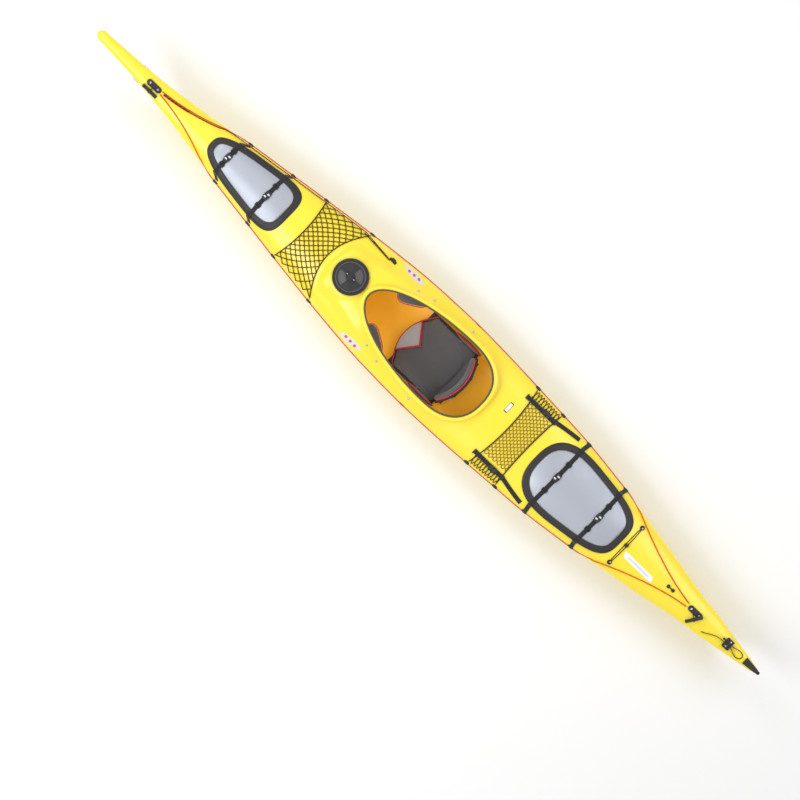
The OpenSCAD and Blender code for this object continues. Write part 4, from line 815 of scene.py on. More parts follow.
def hatch_outline(h, inset, n=200):
    """Outline of a hatch cover: a tapered superellipse with its own squareness fore and aft, evenly spaced."""
    a = np.radians(np.linspace(0, 360, 2881))[:-1]

    def at(a, ins):
        e = np.where(np.cos(a) > 0, h[4], h[5])
        dx = (h[1] - ins) * power(np.cos(a), 2 / e)
        return np.stack([h[0] + dx, (h[2] - ins + h[3] * dx) * power(np.sin(a), 2 / e)], -1)
    middle = at(a, FRAME_W / 2)
    run = np.concatenate([[0], np.cumsum(np.linalg.norm(np.diff(middle, axis=0), axis=1))])
    even = np.interp(np.linspace(0, run[-1], n, endpoint=False), run, a)
    return at(even, inset)


def rim_point(a, o):
    """Point of the cockpit's outline, o outside the opening: an ellipse forward, a fuller one aft."""
    c, s = np.cos(a), np.sin(a)
    e = np.where(c > 0, 2.0, 2.4)
    return np.stack([WIDEST_X + np.where(c > 0, FORE_HALF + o, AFT_HALF + o) * power(c, 2 / e),
                     (OPEN_W / 2 + o) * power(s, 2 / e)], -1)


def rim_z(x):
    d = (x - WIDEST_X) / FORE_HALF
    return 308 + np.where(d > 0, 76 * np.maximum(d, 0) ** 1.9, 5 * (d / 0.43) ** 2)


def cutter(outline):
    """Upright prism over an outline."""
    top = np.concatenate([outline, np.full((len(outline), 1), 600.0)], 1)
    low = np.concatenate([outline, np.full((len(outline), 1), 120.0)], 1)
    n = len(outline)
    faces = [[k, (k + 1) % n, n + (k + 1) % n, n + k] for k in range(n)]
    return np.concatenate([low, top]), faces + [list(range(n))[::-1], list(range(n, 2 * n))], None


ring_a = np.radians(np.linspace(0, 360, 180, endpoint=False))
day_ring = np.stack([DAY_X + DAY_HOLE_R * np.cos(ring_a), DAY_HOLE_R * np.sin(ring_a)], -1)
holes = make_mesh("deck_openings", [cutter(hatch_outline(FRONT, HOLE_INSET, 120)),
                                    cutter(hatch_outline(REAR, HOLE_INSET, 120)),
                                    cutter(day_ring), cutter(rim_point(ring_a, 7.5))])
outward(holes)
deck = make_mesh("deck_skin", [slab(deck_top, deck_low)])
outward(deck)
cut = deck.modifiers.new("openings", "BOOLEAN")
cut.operation, cut.object, cut.solver = "DIFFERENCE", holes, "EXACT"
apply_modifiers(deck)
bpy.data.objects.remove(holes, do_unlink=True)
shade(deck, 40)
deck.data.materials.clear()
deck.data.materials.append(deck_yellow)
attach(deck, "root")
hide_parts("deck_shell")

# Cockpit rim: inner wall, rolled lip and a fillet down to the deck, as one closed section round the opening.
# Each row: offset outside the opening, 0 for a height from the rim or None for one from the deck, that height
ring = np.radians(np.linspace(0, 360, 240, endpoint=False))
SECTION = [(0.0, None, -14), (0.0, 0, -8), (0.4, 0, -1.5), (2, 0, 1), (5, 0, 2), (10, 0, 2.3), (15, 0, 1.4),
           (19.5, 0, -1),
           (22, 0, -3.6), (21.6, 0, -6.2), (19, 0, -7), (14, 0, -7.2), (9.5, 0, -8), (8.4, 0, -11), (8.6, None, 22),
           (10.5, None, 13), (14, None, 7), (20, None, 2.8), (28, None, 0.5), (34, None, -2.5), (20, None, -8)]
rows = []
for o, base, dz_ in SECTION:
    p = rim_point(ring, o)
    q = rim_point(ring, max(7.0, o))
    top = rim_z(p[:, 0])
    on = deck_z(q[:, 0], q[:, 1])
    z = top + dz_ if base == 0 else np.minimum(on + dz_, top - 11.5) if dz_ > 3 else on + dz_
    rows.append(np.concatenate([p, z[:, None]], 1))
loop = np.stack(rows, 1)
rim_faces = grid_faces(len(ring), len(SECTION), True, True)
piece("cockpit_rim", (loop.reshape(-1, 3), rim_faces, None), deck_yellow, nodes=["coaming"], angle=60)
turn = np.radians(np.linspace(0, 360, 14, endpoint=False))
rows = []
for b in turn:
    o = -4.2 + 4.6 * np.cos(b)
    p = rim_point(ring, o)
    rows.append(np.concatenate([p, (rim_z(p[:, 0]) - 4 + 10 * np.sin(b))[:, None]], 1))
piece("cockpit_edge_rubber", (np.stack(rows, 1).reshape(-1, 3), grid_faces(len(ring), 14, True, True), None),
      trim_rubber,
      nodes=["coaming_trim"], angle=80)


# ---------------------------------------------------------------- hatch covers
def cover_half(h, x, inset):
    dx = x - h[0]
    t = np.minimum(1, np.abs(dx) / (h[1] - inset))
    e = np.where(dx > 0, h[4], h[5])
    return (h[2] - inset + h[3] * dx) * (1 - t ** e) ** (1 / e)


def frame_z(h, x, y):
    return ridge_z(s_at(x)) + 6 - 34 * (y / (h[2] + 30)) ** 2


def cover_z(h, x, y):
    """Top of a cover: the frame's height plus a low dome."""
    u = np.minimum(1, np.abs(y) / np.maximum(1, cover_half(h, x, FRAME_W)))
    v_ = np.minimum(1, np.abs(x - h[0]) / (h[1] - FRAME_W))
    return frame_z(h, x, y) + h[6] * (1 - u ** 2.5) * (1 - v_ ** 4)


def hatch_frame(name, h, body, nodes):
    """Rubber frame: a rounded section carried round the cover's outline."""
    rows_ = []
    for share, lift, under in [(0, 1.5, 0), (0.05, 0.2, 0), (0.15, 0, 0), (0.4, 0, 0), (0.65, 0, 0), (0.85, -0.6, 0),
                               (0.95, -2.2, 0), (1.0, -4.4, 0), (1.0, 0, 3.0), (0.7, 0, 2.9), (0.4, 0, 5.6),
                               (0.0, 0, 5.6)]:
        p = hatch_outline(h, FRAME_W * (1 - share))
        on = deck_z(p[:, 0], p[:, 1])
        top = np.maximum(frame_z(h, p[:, 0], p[:, 1]) - 7 * share ** 3, on + 8.6 - 1.2 * share) + lift
        rows_.append(np.concatenate([p, (on + under if under else top)[:, None]], 1))
    grid = np.stack(rows_, 1)
    return piece(name, (grid.reshape(-1, 3), grid_faces(len(grid), len(rows_), True, True), None), frame_rubber,
                 body, nodes, 60)


def hatch_panel(name, h, body, nodes):
    """Domed panel inside the frame, rounded down at its edge."""
    inset = FRAME_W + 1.5
    l = h[1] - inset
    x = (h[0] + l * 0.998 * np.cos(np.radians(np.linspace(0, 180, 90))))[:, None]
    v_ = np.sin(np.radians(np.linspace(-90, 90, 61)))[None, :]
    y_ = v_ * cover_half(h, x, inset)
    e = np.maximum(np.abs(v_), np.abs(x - h[0]) / l)
    top = cover_z(h, x + 0 * v_, y_) - 1.8 * smooth((e - 0.965) / 0.035)
    face = np.stack(np.broadcast_arrays(x, y_, top), -1)
    low = np.stack(np.broadcast_arrays(x, y_, frame_z(h, x + 0 * v_, y_) - 5), -1)
    return piece(name, slab(face, low), silver_panel, body, nodes, 60)


def strap_z(h, x, y_):
    w = cover_half(h, x, 0)
    return np.where(np.abs(y_) <= w + 0.1, np.maximum(cover_z(h, x, y_), frame_z(h, x, y_)), deck_z(x, y_)) + 0.8


def hatch_strap(h, x0, lug_s):
    """Webbing over a cover: taut on the dome, down to the deck and round to its lug; also the height along it."""
    w = float(cover_half(h, np.array(x0), 0))
    e = float(half_beam(s_at(x0))) - 4
    u_ = np.linspace(-2, 2, 221)
    y_ = np.where(np.abs(u_) <= 1, u_ * w, np.sign(u_) * mix(w + 1.5, e, np.abs(u_) - 1))
    shift = -(lug_s - s_at(x0)) * smooth((np.abs(u_) - 0.95) / 1.05)
    x = x0 + shift
    z = np.max([strap_z(h, x + k, y_) for k in (-12.5, 0, 12.5)], axis=0)
    edge = np.interp(1.0, u_, z) - deck_z(x0, w + 1.5)
    z = np.where(np.abs(u_) > 1, deck_z(x, y_) + 1.6 + (edge - 1.6) * (1 - np.clip(np.abs(u_) - 1, 0, 1)) ** 5, z)
    kernel = np.hanning(9) / np.hanning(9).sum()
    z = np.convolve(np.pad(z, 4, mode="edge"), kernel, mode="valid") + 0.5
    cross = np.array([-12.5, -11.8, -6, 0, 6, 11.8, 12.5])[None, :]
    thin = np.array([0.9, 0, 0, 0, 0, 0, 0.9])[None, :]
    top = np.stack([x[:, None] + cross, y_[:, None] + 0 * cross, z[:, None] + 2 - thin], -1)
    low_ = np.stack([x[:, None] + cross, y_[:, None] + 0 * cross, z[:, None] + thin], -1)
    points, faces, _ = slab(top, low_)
    uv = np.stack([(points[:, 0] - x0) / 25, points[:, 1] / 25], -1)
    return (points, faces, uv), y_, z


def side_buckle(x, y_, z, slope):
    """Side-release buckle: a body, a hollow-looking latch window with two arms and two webbing bars."""
    parts = [block((0, -12, 2.5), (34, 22, 8), 0.35, 0.6, 14), block((0, 13, 2.5), (31, 20, 6.5), 0.35, 0.6, 14),
             block((-15.5, 2, 3), (5, 22, 6), 0.5, 0.6, 10), block((15.5, 2, 3), (5, 22, 6), 0.5, 0.6, 10),
             block((0, 2.5, 2.2), (14, 12, 6), 0.5, 0.7, 12), block((0, 24, 3.5), (32, 5, 6), 0.6, 0.7, 10),
             block((0, -25, 3.5), (33, 5, 6), 0.6, 0.7, 10)]
    turn_ = np.array(Matrix.Rotation(math.atan(slope), 3, "X"))
    return [turned(p, turn_, (x, y_, z + 2)) for p in parts]


def tri_glide(x, y_, z, slope):
    """Three-bar slide on a strap."""
    parts = [block((0, k, 3.4), (33, 4.5, 4.6), 0.5, 0.7, 10) for k in (-9, 0, 9)]
    parts += [block((k * 15, 0, 3.0), (4.6, 21, 5), 0.5, 0.7, 10) for k in (-1, 1)]
    turn_ = np.array(Matrix.Rotation(math.atan(slope), 3, "X"))
    return [turned(p, turn_, (x, y_, z + 0.6)) for p in parts]


for name, h, body, stations, lugs in (("front_hatch", FRONT, "front_cover", (947, 1237), (979, 1259)),
                                      ("rear_hatch", REAR, "rear_cover", (3393, 3702), (3400, 3710))):
    hatch_frame(name + "_rim", h, body, [name + "_frame"])
    hatch_panel(name + "_lid", h, body, [name + "_panel"])
    straps, buckles, glints = [], [], []
    for s0, lug_s in zip(stations, lugs):
        x0 = x_at(s0)
        strap, sy, sz = hatch_strap(h, x0, lug_s)
        straps.append(strap)
        buckles += side_buckle(x0, 0.0, float(np.interp(0, sy, sz)) + 1.2, 0.0)
        reach = 0.46 * float(cover_half(h, np.array(x0), 0))
        for k in (-1, 1):
            lean_ = float(np.interp(k * reach + 6, sy, sz) - np.interp(k * reach - 6, sy, sz)) / 12
            buckles += tri_glide(x0, k * reach, float(np.interp(k * reach, sy, sz)) + 1.4, lean_)
            # Painted glints: pale grey label-film patches on top of each centre buckle stand in for its highlights.
            glints.append(block((x0 + 5 * k, k * 9, float(np.interp(0, sy, sz)) + 9.4), (15, 9, 3.0), 0.5, 0.8, 8))
    piece(name + "_webbing", straps, webbing, body, [name + "_straps"], 50)
    piece(name + "_clips", buckles, black_plastic, body, [name + "_buckles"], 50)
    piece(name + "_clip_painted_glints", glints, label_and_glint_grey, body, angle=50)


# ---------------------------------------------------------------- rigging
def bump(s, c, w):
    return 1 - smooth((np.abs(s - c) - w) / 25)


def lug(s, side):
    """Deck lug at the gunwale: a rounded foot with a raised eye for the cord."""
    h = float(half_beam(s))
    g = float(gunwale_z(s))
    parts = [block((x_at(s), side * (h + 0.5), g + 2), (32, 17, 32), 0.4, 0.45, 14),
             block((x_at(s), side * (h - 8), g + 14), (24, 24, 10), 0.5, 0.6, 14)]
    bolt = block((x_at(s), side * (h + 8.5), g - 5), (9, 4, 9), 1.0, 0.5, 10)
    return parts, bolt


def deck_line_path(side):
    """Perimeter line: in at the fittings, out over the gunwale between them."""
    s = np.arange(455.0, 4374.1, 9.0)
    span = np.where(s < 830, (s - 455) / 375, np.where(s > 3850, (4374 - s) / 524, 1.0))
    y_ = 10 + span * (half_beam(s) - 19)
    out = half_beam(s) + 4.0
    e = smooth((s - 830) / 120) * smooth((3850 - s) / 110)
    yy = mix(y_, out, e)
    x = x_at(s)
    z = mix(above(x, yy, 4.2), gunwale_z(s) + 3, e)
    return np.stack([x, side * yy, z], -1)


lug_parts, lug_bolts = [], []
for s0 in (979, 1259, 3400, 3710, 1478, 1782, 2994, 3192):
    for side in (-1, 1):
        parts, bolt = lug(s0, side)
        lug_parts += parts
        lug_bolts.append(bolt)
piece("deck_lug_set", lug_parts, black_plastic, nodes=["strap_lugs", "net_lugs"], angle=50)
piece("deck_lug_bolts", lug_bolts, steel, angle=50)
piece("deck_line_run", [tube(deck_line_path(side), 3.0, 10, per_m=95) for side in (1, -1)], line_red,
      nodes=["perimeter_line"])

# Painter on the starboard side: a twisted rope, thick forward and thinner aft, with a dark tail beside its end
s = np.arange(470.0, 1937.1, 6.0)
span = (np.minimum(s, 830) - 455) / 375
on = 10 + span * (half_beam(np.minimum(s, 830)) - 19) - 9
inn = mix(half_beam(np.minimum(s, 1750)) - 9, float(half_beam(1907.0)) - 45, np.clip((s - 1750) / 187, 0, 1))
up = 5 * bump(s, 947, 40) + 5 * bump(s, 1237, 40)
yy = mix(on, inn, smooth((s - 790) / 80))
run_z = above(x_at(s), yy, 3.4 + up + 5 * bump(s, 1630, 160))
painter_path = np.stack([x_at(s), -yy, run_z], -1)
thick = 2.6 + 2.2 * (1 - smooth((s - 610) / 40))
painter = [tube(painter_path + np.stack([0 * s, 0 * s, thick - 2.6], -1), thick, 12, per_m=42)]
piece("painter_rope", painter, painter_cord, nodes=["painter"])
s = np.arange(1745.0, 1945.1, 6.0)
inn = mix(float(half_beam(1750.0)) - 17, float(half_beam(1907.0)) - 49, (s - 1745) / 200)
piece("painter_tail", tube(over_deck(s, -inn, 5.2), 2.6, 10, per_m=120), black_cord)


def net_point(m_s, e_s, reach, u_, v_):
    """Place on a deck net: v across it from -1 to 1, u fore and aft between its two bowed edges."""
    s_f = mix(m_s[0], e_s[0], v_ ** 2)
    s_a = mix(m_s[1], e_s[1], v_ ** 2)
    s_ = mix(s_f, s_a, u_)
    return s_, v_ * (half_beam(s_) - reach)


def net_cords(m_s, e_s, reach, across, along, r, lift):
    """Lattice: cords that run to and fro between the bowed edges, in two sets that cross."""
    cords = []
    for direction in (1, -1):
        for k in range(-along, across):
            t = np.linspace(0, 1, 2 * along * 4 + 1)
            v_ = -1 + 2 * (k + t * along) / across
            keep = (v_ >= -1.0001) & (v_ <= 1.0001)
            if keep.sum() < 3:
                continue
            v_, u_ = np.clip(v_[keep], -1, 1), (t if direction > 0 else 1 - t)[keep]
            s_, y_ = net_point(m_s, e_s, reach, u_, v_)
            wave = 0.8 * direction * np.sin(np.pi * along * 2 * t[keep])
            z = above(x_at(s_), y_, lift + r) + wave
            cords.append(tube(np.stack([x_at(s_), y_, z], -1), r, 7, per_m=150))
    return cords


def net_edges(m_s, e_s, reach, r, lift):
    cords = []
    for row in (0, 1):
        v_ = np.linspace(-1, 1, 121)
        s_, y_ = net_point(m_s, e_s, reach, np.full(121, float(row)), v_)
        cords.append(tube(over_deck(s_, y_, lift + r), r, 10, per_m=120))
    return cords


FRONT_NET = ((1510.0, 1690.0), (1484.0, 1776.0), 12.0)
REAR_NET = ((3024.0, 3172.0), (3000.0, 3186.0), 16.0)
front = net_cords(*FRONT_NET, 12, 5, 2.4, 1.5)
front += net_edges(*FRONT_NET, 3.0, 1.4)
for side in (-1, 1):
    for s0, row in ((1478, 0.0), (1782, 1.0)):
        s_, y_ = net_point(*FRONT_NET, np.array([row]), np.array([0.98 * side]))
        a = np.array([x_at(s_[0]), y_[0], float(above(x_at(s_[0]), y_[0], 4.4))])
        b = np.array([x_at(s0), side * (float(half_beam(s0)) - 6), float(gunwale_z(s0)) + 16])
        front.append(tube(mix(a, b, np.linspace(0, 1, 10)[:, None]), 2.8, 10, per_m=120))
piece("front_net_cords", front, net_brown, nodes=["front_net"])

rear_edge = net_edges(*REAR_NET, 3.0, 1.4)
side_cords = []
for side in (-1, 1):
    for phase in (0.0, 0.5):
        t = np.linspace(0, 1, 161)
        fold = np.abs(np.mod(t * 5 + phase, 1) * 2 - 1)
        s_ = mix(2996.0, 3190.0, t)
        y_ = side * mix(208.0, half_beam(s_) - 10, smooth(fold))
        side_cords.append(tube(over_deck(s_, y_, 3.4 + 1.2 * (phase > 0)), 2.1, 8, per_m=130))
piece("rear_net_side_cords", side_cords, net_brown)
piece("rear_net_edges", rear_edge, black_cord)


def hex_cords(m_s, e_s, reach, across, along, r, lift):
    """Open mesh of six-sided cells: neighbouring cords wander out and back, half a step apart."""
    cords = []
    for k in range(int(across * 0.13) + 1, int(across * 0.87)):
        t = np.linspace(0, 1, along * 8 + 1)
        saw = np.abs((t * along + (k % 2)) % 2 - 1)
        step = smooth((saw - 0.22) / 0.56) - 0.5
        v_ = -1 + 2 * (k + 0.93 * step) / across
        s_, y_ = net_point(m_s, e_s, reach, t, v_)
        cords.append(tube(over_deck(s_, y_, lift + r), r, 7, per_m=150))
    return cords


piece("rear_net_cords", hex_cords(*REAR_NET, 40, 11, 2.1, 1.4), gold_cord,
      nodes=["rear_net"])

def ribbon(s_, y_, lift, w=12.0):
    """Flat webbing along a path on the deck."""
    x = x_at(s_)
    d = np.gradient(np.stack([x, y_], -1), axis=0)
    d /= np.linalg.norm(d, axis=1)[:, None]
    cross = np.stack([-d[:, 1], d[:, 0]], -1)
    k = np.array([-1, -0.93, -0.5, 0, 0.5, 0.93, 1.0])[None, :] * w
    px_, py_ = x[:, None] + cross[:, :1] * k, y_[:, None] + cross[:, 1:] * k
    z = above(px_, py_, lift) if np.ndim(lift) == 0 else deck_z(px_, py_) + lift[:, None]
    edge = np.array([0.8, 0, 0, 0, 0, 0, 0.8])[None, :]
    top = np.stack([px_, py_, z + 2.0 - edge], -1)
    points, faces, _ = slab(top, np.stack([px_, py_, z + edge], -1))
    length = np.concatenate([[0], np.cumsum(np.hypot(np.diff(x), np.diff(y_)))]) / 24
    uv = np.stack([np.broadcast_to(np.concatenate([k[0], k[0][::-1]])[None] / 24, (len(x), 14)),
                   np.broadcast_to(length[:, None], (len(x), 14))], -1).reshape(-1, 2)
    return points, faces, uv


# Rear webbing: two straps with T ends, side-release buckles and angled tails
WEB_Y = 203.0
web, clips = [], []
for side in (-1, 1):
    s_ = np.linspace(2980, 3186, 60)
    web.append(ribbon(s_, np.full(60, side * WEB_Y), 6.8))
    for at in (2980.0, 3188.0):
        clips.append(on_deck(block((0, 0, 6), (9, 33, 7), 0.6, 0.6, 12), x_at(at), side * WEB_Y))
    start, end = ((3150.0, 3345.0) if side < 0 else (3190.0, 3352.0))
    t = np.linspace(0, 1, 40)
    s_ = mix(start, end, t)
    y_ = side * (WEB_Y + 38 * t - 9 * t * t)
    y_ = np.clip(y_, -(half_beam(s_) - 9), half_beam(s_) - 9)
    lift = 1.2 + (9.5 if side < 0 else 2.0) * (1 - smooth(t * 2.2))
    web.append(ribbon(s_, y_, lift))
    for p in side_buckle(0, 0, 0, 0):
        q = np.array(Matrix.Rotation(math.radians(90), 3, "Z"))
        clips.append(on_deck(turned(p, q), x_at(3120.0), side * WEB_Y, 7.6))
piece("rear_deck_webbing", web, webbing, nodes=["rear_webbing"], angle=50)
piece("rear_deck_clips", clips, black_plastic, angle=50)

# Paddle park: a doubled cord with a bead
a = np.linspace(0, 2 * np.pi, 120, endpoint=False)
PARK_X = x_at(3912.0)
px = PARK_X + 6 * power(np.sin(a), 0.5)
py = 116 * power(np.cos(a), 0.9)
loop_path = np.stack([px, py, above(px, py, 3.4)], -1)
loop_path = np.concatenate([loop_path, loop_path[:2]])
piece("paddle_park_cord", [tube(loop_path, 2.2, 9, per_m=150)], black_cord, nodes=["park_bungee"])
piece("paddle_park_bead", [on_deck(block((0, 0, 6), (24, 15, 11), 0.8, 0.8, 16), PARK_X, 0.0)], black_plastic,
      angle=50)

# ---------------------------------------------------------------- day hatch lid
LID_Z, GRIP_Z = 358.8, 376.2
ld_r = np.concatenate([np.linspace(0, 12, 4), np.linspace(16, 72, 40), np.linspace(72.6, 88.9, 34)])[:, None]
ld_a = np.radians(np.linspace(0, 360, 240, endpoint=False))[None, :]
base = np.interp(ld_r, [0, 30, 71.5, 75.5, 83.5, 86.5, 88.9], [17, 16, 11.5, 13, 13, 11.5, 8.5])
quarter = np.abs(np.mod(ld_a + np.pi / 4, np.pi / 2) - np.pi / 4)
rib_w = 3.2 / np.maximum(ld_r, 6)
ribs = 1.6 * (1 - smooth((quarter - rib_w) / (rib_w * 0.6 + 1e-3))) * smooth((ld_r - 20) / 6) * (1 - smooth((ld_r - 66) / 3))
rings = 0.7 * np.exp(-((ld_r - 45) / 1.6) ** 2) + 0.9 * np.exp(-((ld_r - 58) / 1.4) ** 2)
sector = 0.5 * np.sin(4 * ld_a) * smooth((ld_r - 24) / 6) * (1 - smooth((ld_r - 68) / 3))
notch = 1.2 * np.maximum(0, np.cos(36 * ld_a)) ** 8 * smooth((ld_r - 84.5) / 1.5)
lz = base + ribs + rings + sector - notch
lid_top = np.stack([ld_r * np.cos(ld_a), ld_r * np.sin(ld_a), lz], -1)
pts = np.concatenate([lid_top[1:].reshape(-1, 3), [[0, 0, float(lz[0, 0])]],
                      np.stack([88.9 * np.cos(ld_a[0]), 88.9 * np.sin(ld_a[0]), 0 * ld_a[0]], -1), [[0, 0, 0.0]]])
rows_n, cols_n = len(ld_r) - 1, ld_a.shape[1]
lid_faces = grid_faces(rows_n, cols_n, False, True)
tip, ring0 = rows_n * cols_n, rows_n * cols_n + 1
last = (rows_n - 1) * cols_n
for k in range(cols_n):
    k1 = (k + 1) % cols_n
    lid_faces.append([tip, k, k1])
    lid_faces.append([last + k, ring0 + k, ring0 + k1, last + k1])
    lid_faces.append([ring0 + k, ring0 + cols_n, ring0 + k1])
piece("day_lid_cover", (pts + [DAY_X, 0, LID_Z], lid_faces, None), black_plastic, "day_lid",
      ["day_hatch_lid"], 35)
sectors = []
for middle in (0.0, math.pi):
    sa = (middle + math.pi / 4 + np.radians(np.linspace(-38, 38, 25)))[None, :]
    sr = np.linspace(27, 66, 12)[:, None]
    sz_ = np.interp(sr, [0, 30, 71.5], [17, 16, 11.5]) + 1.1 + 0 * sa
    face = np.stack([DAY_X + sr * np.cos(sa), sr * np.sin(sa), LID_Z + sz_], -1)
    sectors.append(slab(face, face - [0, 0, 1.6]))
piece("day_lid_sectors", sectors, lid_grey, "day_lid")
ring_t = np.linspace(0, 2 * np.pi, 97)
piece("day_lid_ring", tube(np.stack([DAY_X + 79.5 * np.cos(ring_t), 79.5 * np.sin(ring_t), 371.6 + 0 * ring_t], -1),
                           1.3, 8),
      lid_ring, "day_lid")
grip = [block((0, 0, 2.5), (44, 44, 6), 1.0, 0.4, 18), block((0, 0, 6.5), (70, 13, 12), 0.4, 0.7, 18),
        block((31, 0, 7.5), (10, 16, 10), 0.8, 0.8, 12), block((-31, 0, 7.5), (10, 16, 10), 0.8, 0.8, 12)]
piece("day_lid_grip", [(p[0] + [DAY_X, 0, GRIP_Z], p[1], p[2]) for p in grip], black_plastic,
      "day_lid",
      ["day_hatch_grip"], 45)
# Painted highlights: three pale grey label-film spots on top of the lid's black grip.
grip_highlights = [block((DAY_X + k, 0, GRIP_Z + (10.3 if k == 0 else 11.0)), (6, 5, 3.2), 0.8, 0.8, 10) for k in (-24, 0, 24)]
piece("day_lid_grip_painted_highlights", grip_highlights, label_and_glint_grey, "day_lid", angle=50)


# ---------------------------------------------------------------- end toggles
BOW_FIT, STERN_FIT = x_at(403), x_at(4427)


def toggle_bar(fitting_x, offset, spin_deg, tilt_deg):
    """Carrying toggle: a waisted barrel with grip rings, its radius a function of the place along it."""
    t = np.linspace(0, 1, 161)
    waist = 0.92 + 0.08 * np.cos(2 * np.pi * (t - 0.5)) ** 2
    ends = np.sqrt(np.clip(np.minimum(t, 1 - t) / 0.03, 0.12, 1))
    rings_ = 0.8 * smooth((np.sin(2 * np.pi * 13.5 * (t - 0.5)) - 0.1) / 0.3) * (np.abs(t - 0.5) < 0.40)
    bar = tube(np.stack([-49.8 + 99.6 * t, 0 * t, 0 * t], -1), 10.4 * waist * ends - rings_, 24)
    spin = np.array(Matrix.Rotation(math.radians(spin_deg), 3, "Z") @ Matrix.Rotation(math.radians(tilt_deg), 3, "Y"))
    return on_deck(turned(bar, spin, offset), fitting_x, 0.0, 0.0)


def toggle_cord(fitting_x, offset, spin_deg, start, hole_z):
    """Cord from the fitting's cross hole through the toggle's middle."""
    sn, cs = math.sin(math.radians(spin_deg)), math.cos(math.radians(spin_deg))
    ox, oy, oz = offset
    to = [(ox - k * sn, oy + k * cs, oz) for k in (-17.5, -6, 6, 13.5)]
    way = [(0, start, hole_z), tuple(0.25 * np.array((0, start, hole_z)) + 0.75 * np.array(to[0]))] + to
    return on_deck(tube(resample(way, 1.5), 2.6, 12, per_m=140), fitting_x, 0.0, 0.0)


piece("bow_toggle_grip", toggle_bar(BOW_FIT, (0, 37, 5.5), 0, 0), black_plastic, "bow_handle",
      ["bow_toggle"], 50)
piece("bow_toggle_lead", toggle_cord(BOW_FIT, (0, 37, 5.5), 0, 18.7, 9.3), black_cord, "bow_handle",
      ["bow_toggle_cord"])
piece("stern_toggle_grip", toggle_bar(STERN_FIT, (-19, 33, 17), 58, 15), black_plastic,
      "stern_handle",
      ["stern_toggle"], 50)
piece("stern_toggle_lead", toggle_cord(STERN_FIT, (-19, 33, 17), 58, 16.38, 8.6), black_cord,
      "stern_handle", ["stern_toggle_cord"])


# ---------------------------------------------------------------- labels and small marks
def film(outline, x, y_, spin_deg=0.0, thick=0.5, lift=0.25):
    """Thin film on the deck: a fan of rings shrunk from its outline, laid on the deck's own surface."""
    c, s_ = math.cos(math.radians(spin_deg)), math.sin(math.radians(spin_deg))
    k = np.linspace(0.02, 1, 10)[:, None, None]
    o = np.asarray(outline)[None] * k
    gx = x + o[..., 0] * c - o[..., 1] * s_
    gy = y_ + o[..., 0] * s_ + o[..., 1] * c
    z = deck_z(gx, gy)
    top = np.stack([gx, gy, z + lift + thick], -1)
    low_ = np.stack([gx, gy, z + lift], -1)
    n, m = top.shape[:2]
    points = np.concatenate([top.reshape(-1, 3), low_.reshape(-1, 3)])
    faces = grid_faces(n, m, False, True) + [f[::-1] for f in grid_faces(n, m, False, True, n * m)]
    faces += [list(range(m)), list(range(n * m, n * m + m))[::-1]]
    edge = (n - 1) * m
    faces += [[edge + j, edge + (j + 1) % m, n * m + edge + (j + 1) % m, n * m + edge + j] for j in range(m)]
    return points, faces, None


t = np.linspace(0, 2 * np.pi, 80, endpoint=False)
leaf = np.stack([77 * np.cos(t), 18 * np.sin(t) * np.abs(np.sin(t)) ** 0.5], -1)
small = np.stack([9 * np.cos(t), 7.5 * np.sin(t)], -1)
pale, red = [], []
for side in (1, -1):
    pale.append(film(leaf, x_at(2094), side * 246, side * 3.0 + (180 if side < 0 else 0)))
    red += [film(small, x_at(2094 + k), side * (246 + 0.052 * k), side * 20, 0.4, 0.75) for k in (-34, 0, 34)]
box_ = np.stack([101 * power(np.cos(t), 0.12), 16 * power(np.sin(t), 0.12)], -1)
box_[:, 0] -= 0.35 * box_[:, 1]
piece("side_marks", pale, label_and_glint_grey, angle=60)
piece("side_mark_tips", red, label_red, angle=60)
piece("stern_blank_label", film(box_, x_at(4040), 39, 0, 0.5, 0.3), label_white, angle=60)
square = np.stack([10 * power(np.cos(t), 0.15), 28 * power(np.sin(t), 0.15)], -1)
piece("aft_label_border", film(square * 1.12, x_at(2950), -91, 0, 0.4, 0.25), black_plastic,
      angle=60)
piece("aft_label", film(square * 0.92, x_at(2950), -91, 0, 0.4, 0.75), label_white, angle=60)

stripe = np.stack([74 * power(np.cos(t), 0.3), 5 * power(np.sin(t), 0.3)], -1)
piece("stern_label_stripe", film(stripe, x_at(4040), 39, 0, 0.4, 0.8), label_and_glint_grey, angle=60)
eye = [block((k * 17, 0, 3.4), (17, 20, 6), 0.6, 0.5, 14) for k in (-1, 1)] + [block((0, 0, 5.5), (30, 7, 6), 0.6,
                                                                                     0.8, 12)]
piece("deck_eye_tie", [on_deck(p, x_at(4243), 0.0) for p in eye], black_plastic, nodes=["deck_eye"],
      angle=50)
disc_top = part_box("park_discs")[1][2] / MM
piece("park_disc_screws", [block((PARK_X, side * 124.5, disc_top - 1.0), (9, 9, 4), 1.0, 0.6, 10) for side in (-1,
                                                                                                               1)],
      steel, angle=50)
piece("cord_lock_studs", [block((lock_x + k * 4, k * 16, lock_low + 29.8), (11, 11, 4), 1.0, 0.6, 10) for k in (-1,
                                                                                                                1)],
      steel, angle=50)

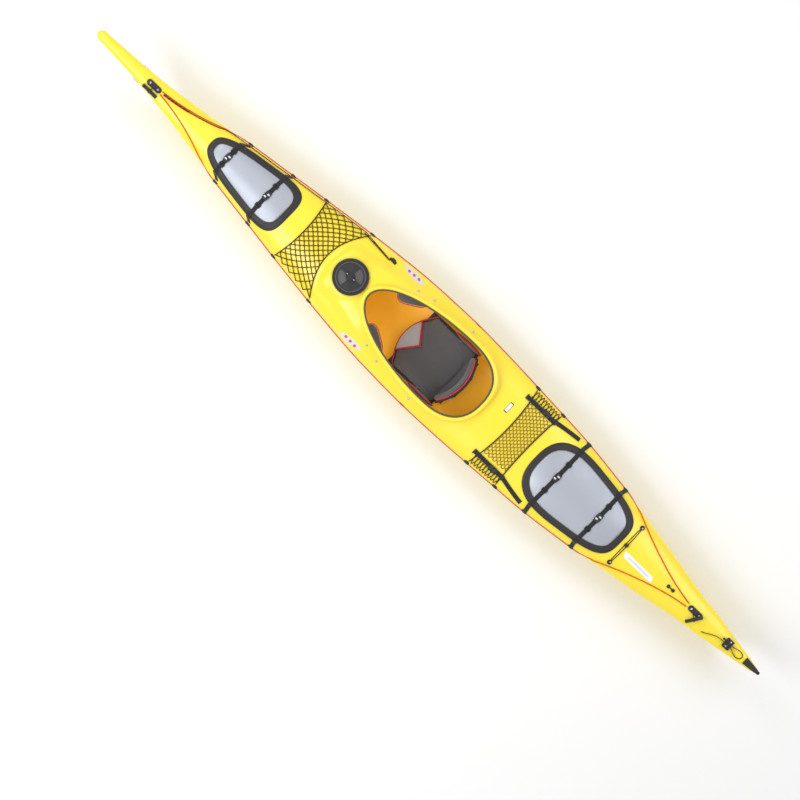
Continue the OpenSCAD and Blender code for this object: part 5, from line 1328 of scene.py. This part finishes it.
# Foot-brace screws outside the hull, and the deck's fine centre seam fore, amidships and aft
screws = []
for s0 in (1426, 1609, 1793):
    for side in (-1, 1):
        a_ = np.linspace(10, 88, 400)
        p = bottom_point(np.full(400, float(s0)), a_)
        k = int(np.argmin(np.abs(p[:, 2] - 102)))
        screws.append(block((p[k, 0], side * (p[k, 1] + 1.0), p[k, 2]), (11, 3.6, 11), 1.0, 0.6, 10))
piece("foot_brace_screws", screws, steel, angle=50)
for name, s_0, s_1 in (("fore_deck_seam", 462.0, 812.0), ("middle_deck_seam", 2862.0, 3018.0),
                       ("aft_deck_seam", 4150.0, 4370.0)):
    s = np.arange(s_0, s_1, 6.0)
    piece(name, tube(np.stack([x_at(s), 0 * s, deck_z(x_at(s), 0 * s) - 0.4], -1), 1.0, 8), deck_yellow)

# ---------------------------------------------------------------- finishes of the CAD nodes that stay
FINISHES = {
    "front_bulkhead": foam, "rear_bulkhead": foam, "seat_block": foam, "front_hatch_seal": trim_rubber, "rear_hatch_seal": trim_rubber,
    "day_hatch_ring": black_plastic, "day_hatch_pod": pod_plastic, "bow_fitting": black_plastic,
    "stern_fitting": black_plastic, "fitting_screws": steel, "bow_eye": steel, "painter_cleat": black_plastic,
    "park_discs": black_plastic, "seat_pan": black_plastic, "backrest_hinge": steel,
    "backrest_sleeve": black_plastic, "ratchet_base": steel, "ratchet_lever": steel, "brace_bolts": steel,
    "side_buttons": black_plastic, "foot_rails": rail_metal, "left_pedal": black_plastic, "right_pedal": black_plastic,
    "stern_bracket": black_plastic, "lock_button": black_plastic, "lock_spring": steel}
for name, finish in FINISHES.items():
    for obj in ([NODES[name]] if hasattr(NODES[name], "data") else NODES[name]):
        obj.data.materials.clear()
        obj.data.materials.append(finish)

# ---------------------------------------------------------------- floor and light
floor_mesh = bpy.data.meshes.new("floor")
floor_mesh.from_pydata([(-40, -40, 0), (40, -40, 0), (40, 40, 0), (-40, 40, 0)], [], [(0, 1, 2, 3)])
floor = bpy.data.objects.new("floor", floor_mesh)
scene.collection.objects.link(floor)
floor_finish = moulded("floor_white", (0.93, 0.93, 0.93), (0.90, 0.90, 0.90), 0.1, 0.05, 60.0, 0.0, (0.85, 0.95),
                       0.02)
floor_mesh.materials.append(floor_finish)


def area_light(name, place, size, power_, aim=(0, 0, 0.2)):
    """Soft square lamp that faces a point."""
    data = bpy.data.lights.new(name, "AREA")
    data.shape, data.size, data.energy = "SQUARE", size, power_
    lamp = bpy.data.objects.new(name, data)
    scene.collection.objects.link(lamp)
    way = Vector(aim) - Vector(place)
    lamp.matrix_world = Matrix.Translation(place) @ way.to_track_quat("-Z", "Y").to_matrix().to_4x4()


area_light("key", (1.6, 3.4, 5.2), 3.4, 165)
area_light("fill", (-2.6, -3.2, 4.6), 3.5, 80)
area_light("end", (3.6, -1.2, 4.0), 2.5, 55)
world = bpy.data.worlds.new("studio")
scene.world = world
world.use_nodes = True
world.node_tree.nodes["Background"].inputs["Color"].default_value = (1, 1, 1, 1)
world.node_tree.nodes["Background"].inputs["Strength"].default_value = 0.62
scene.view_settings.view_transform = "Standard"
scene.view_settings.look = "None"
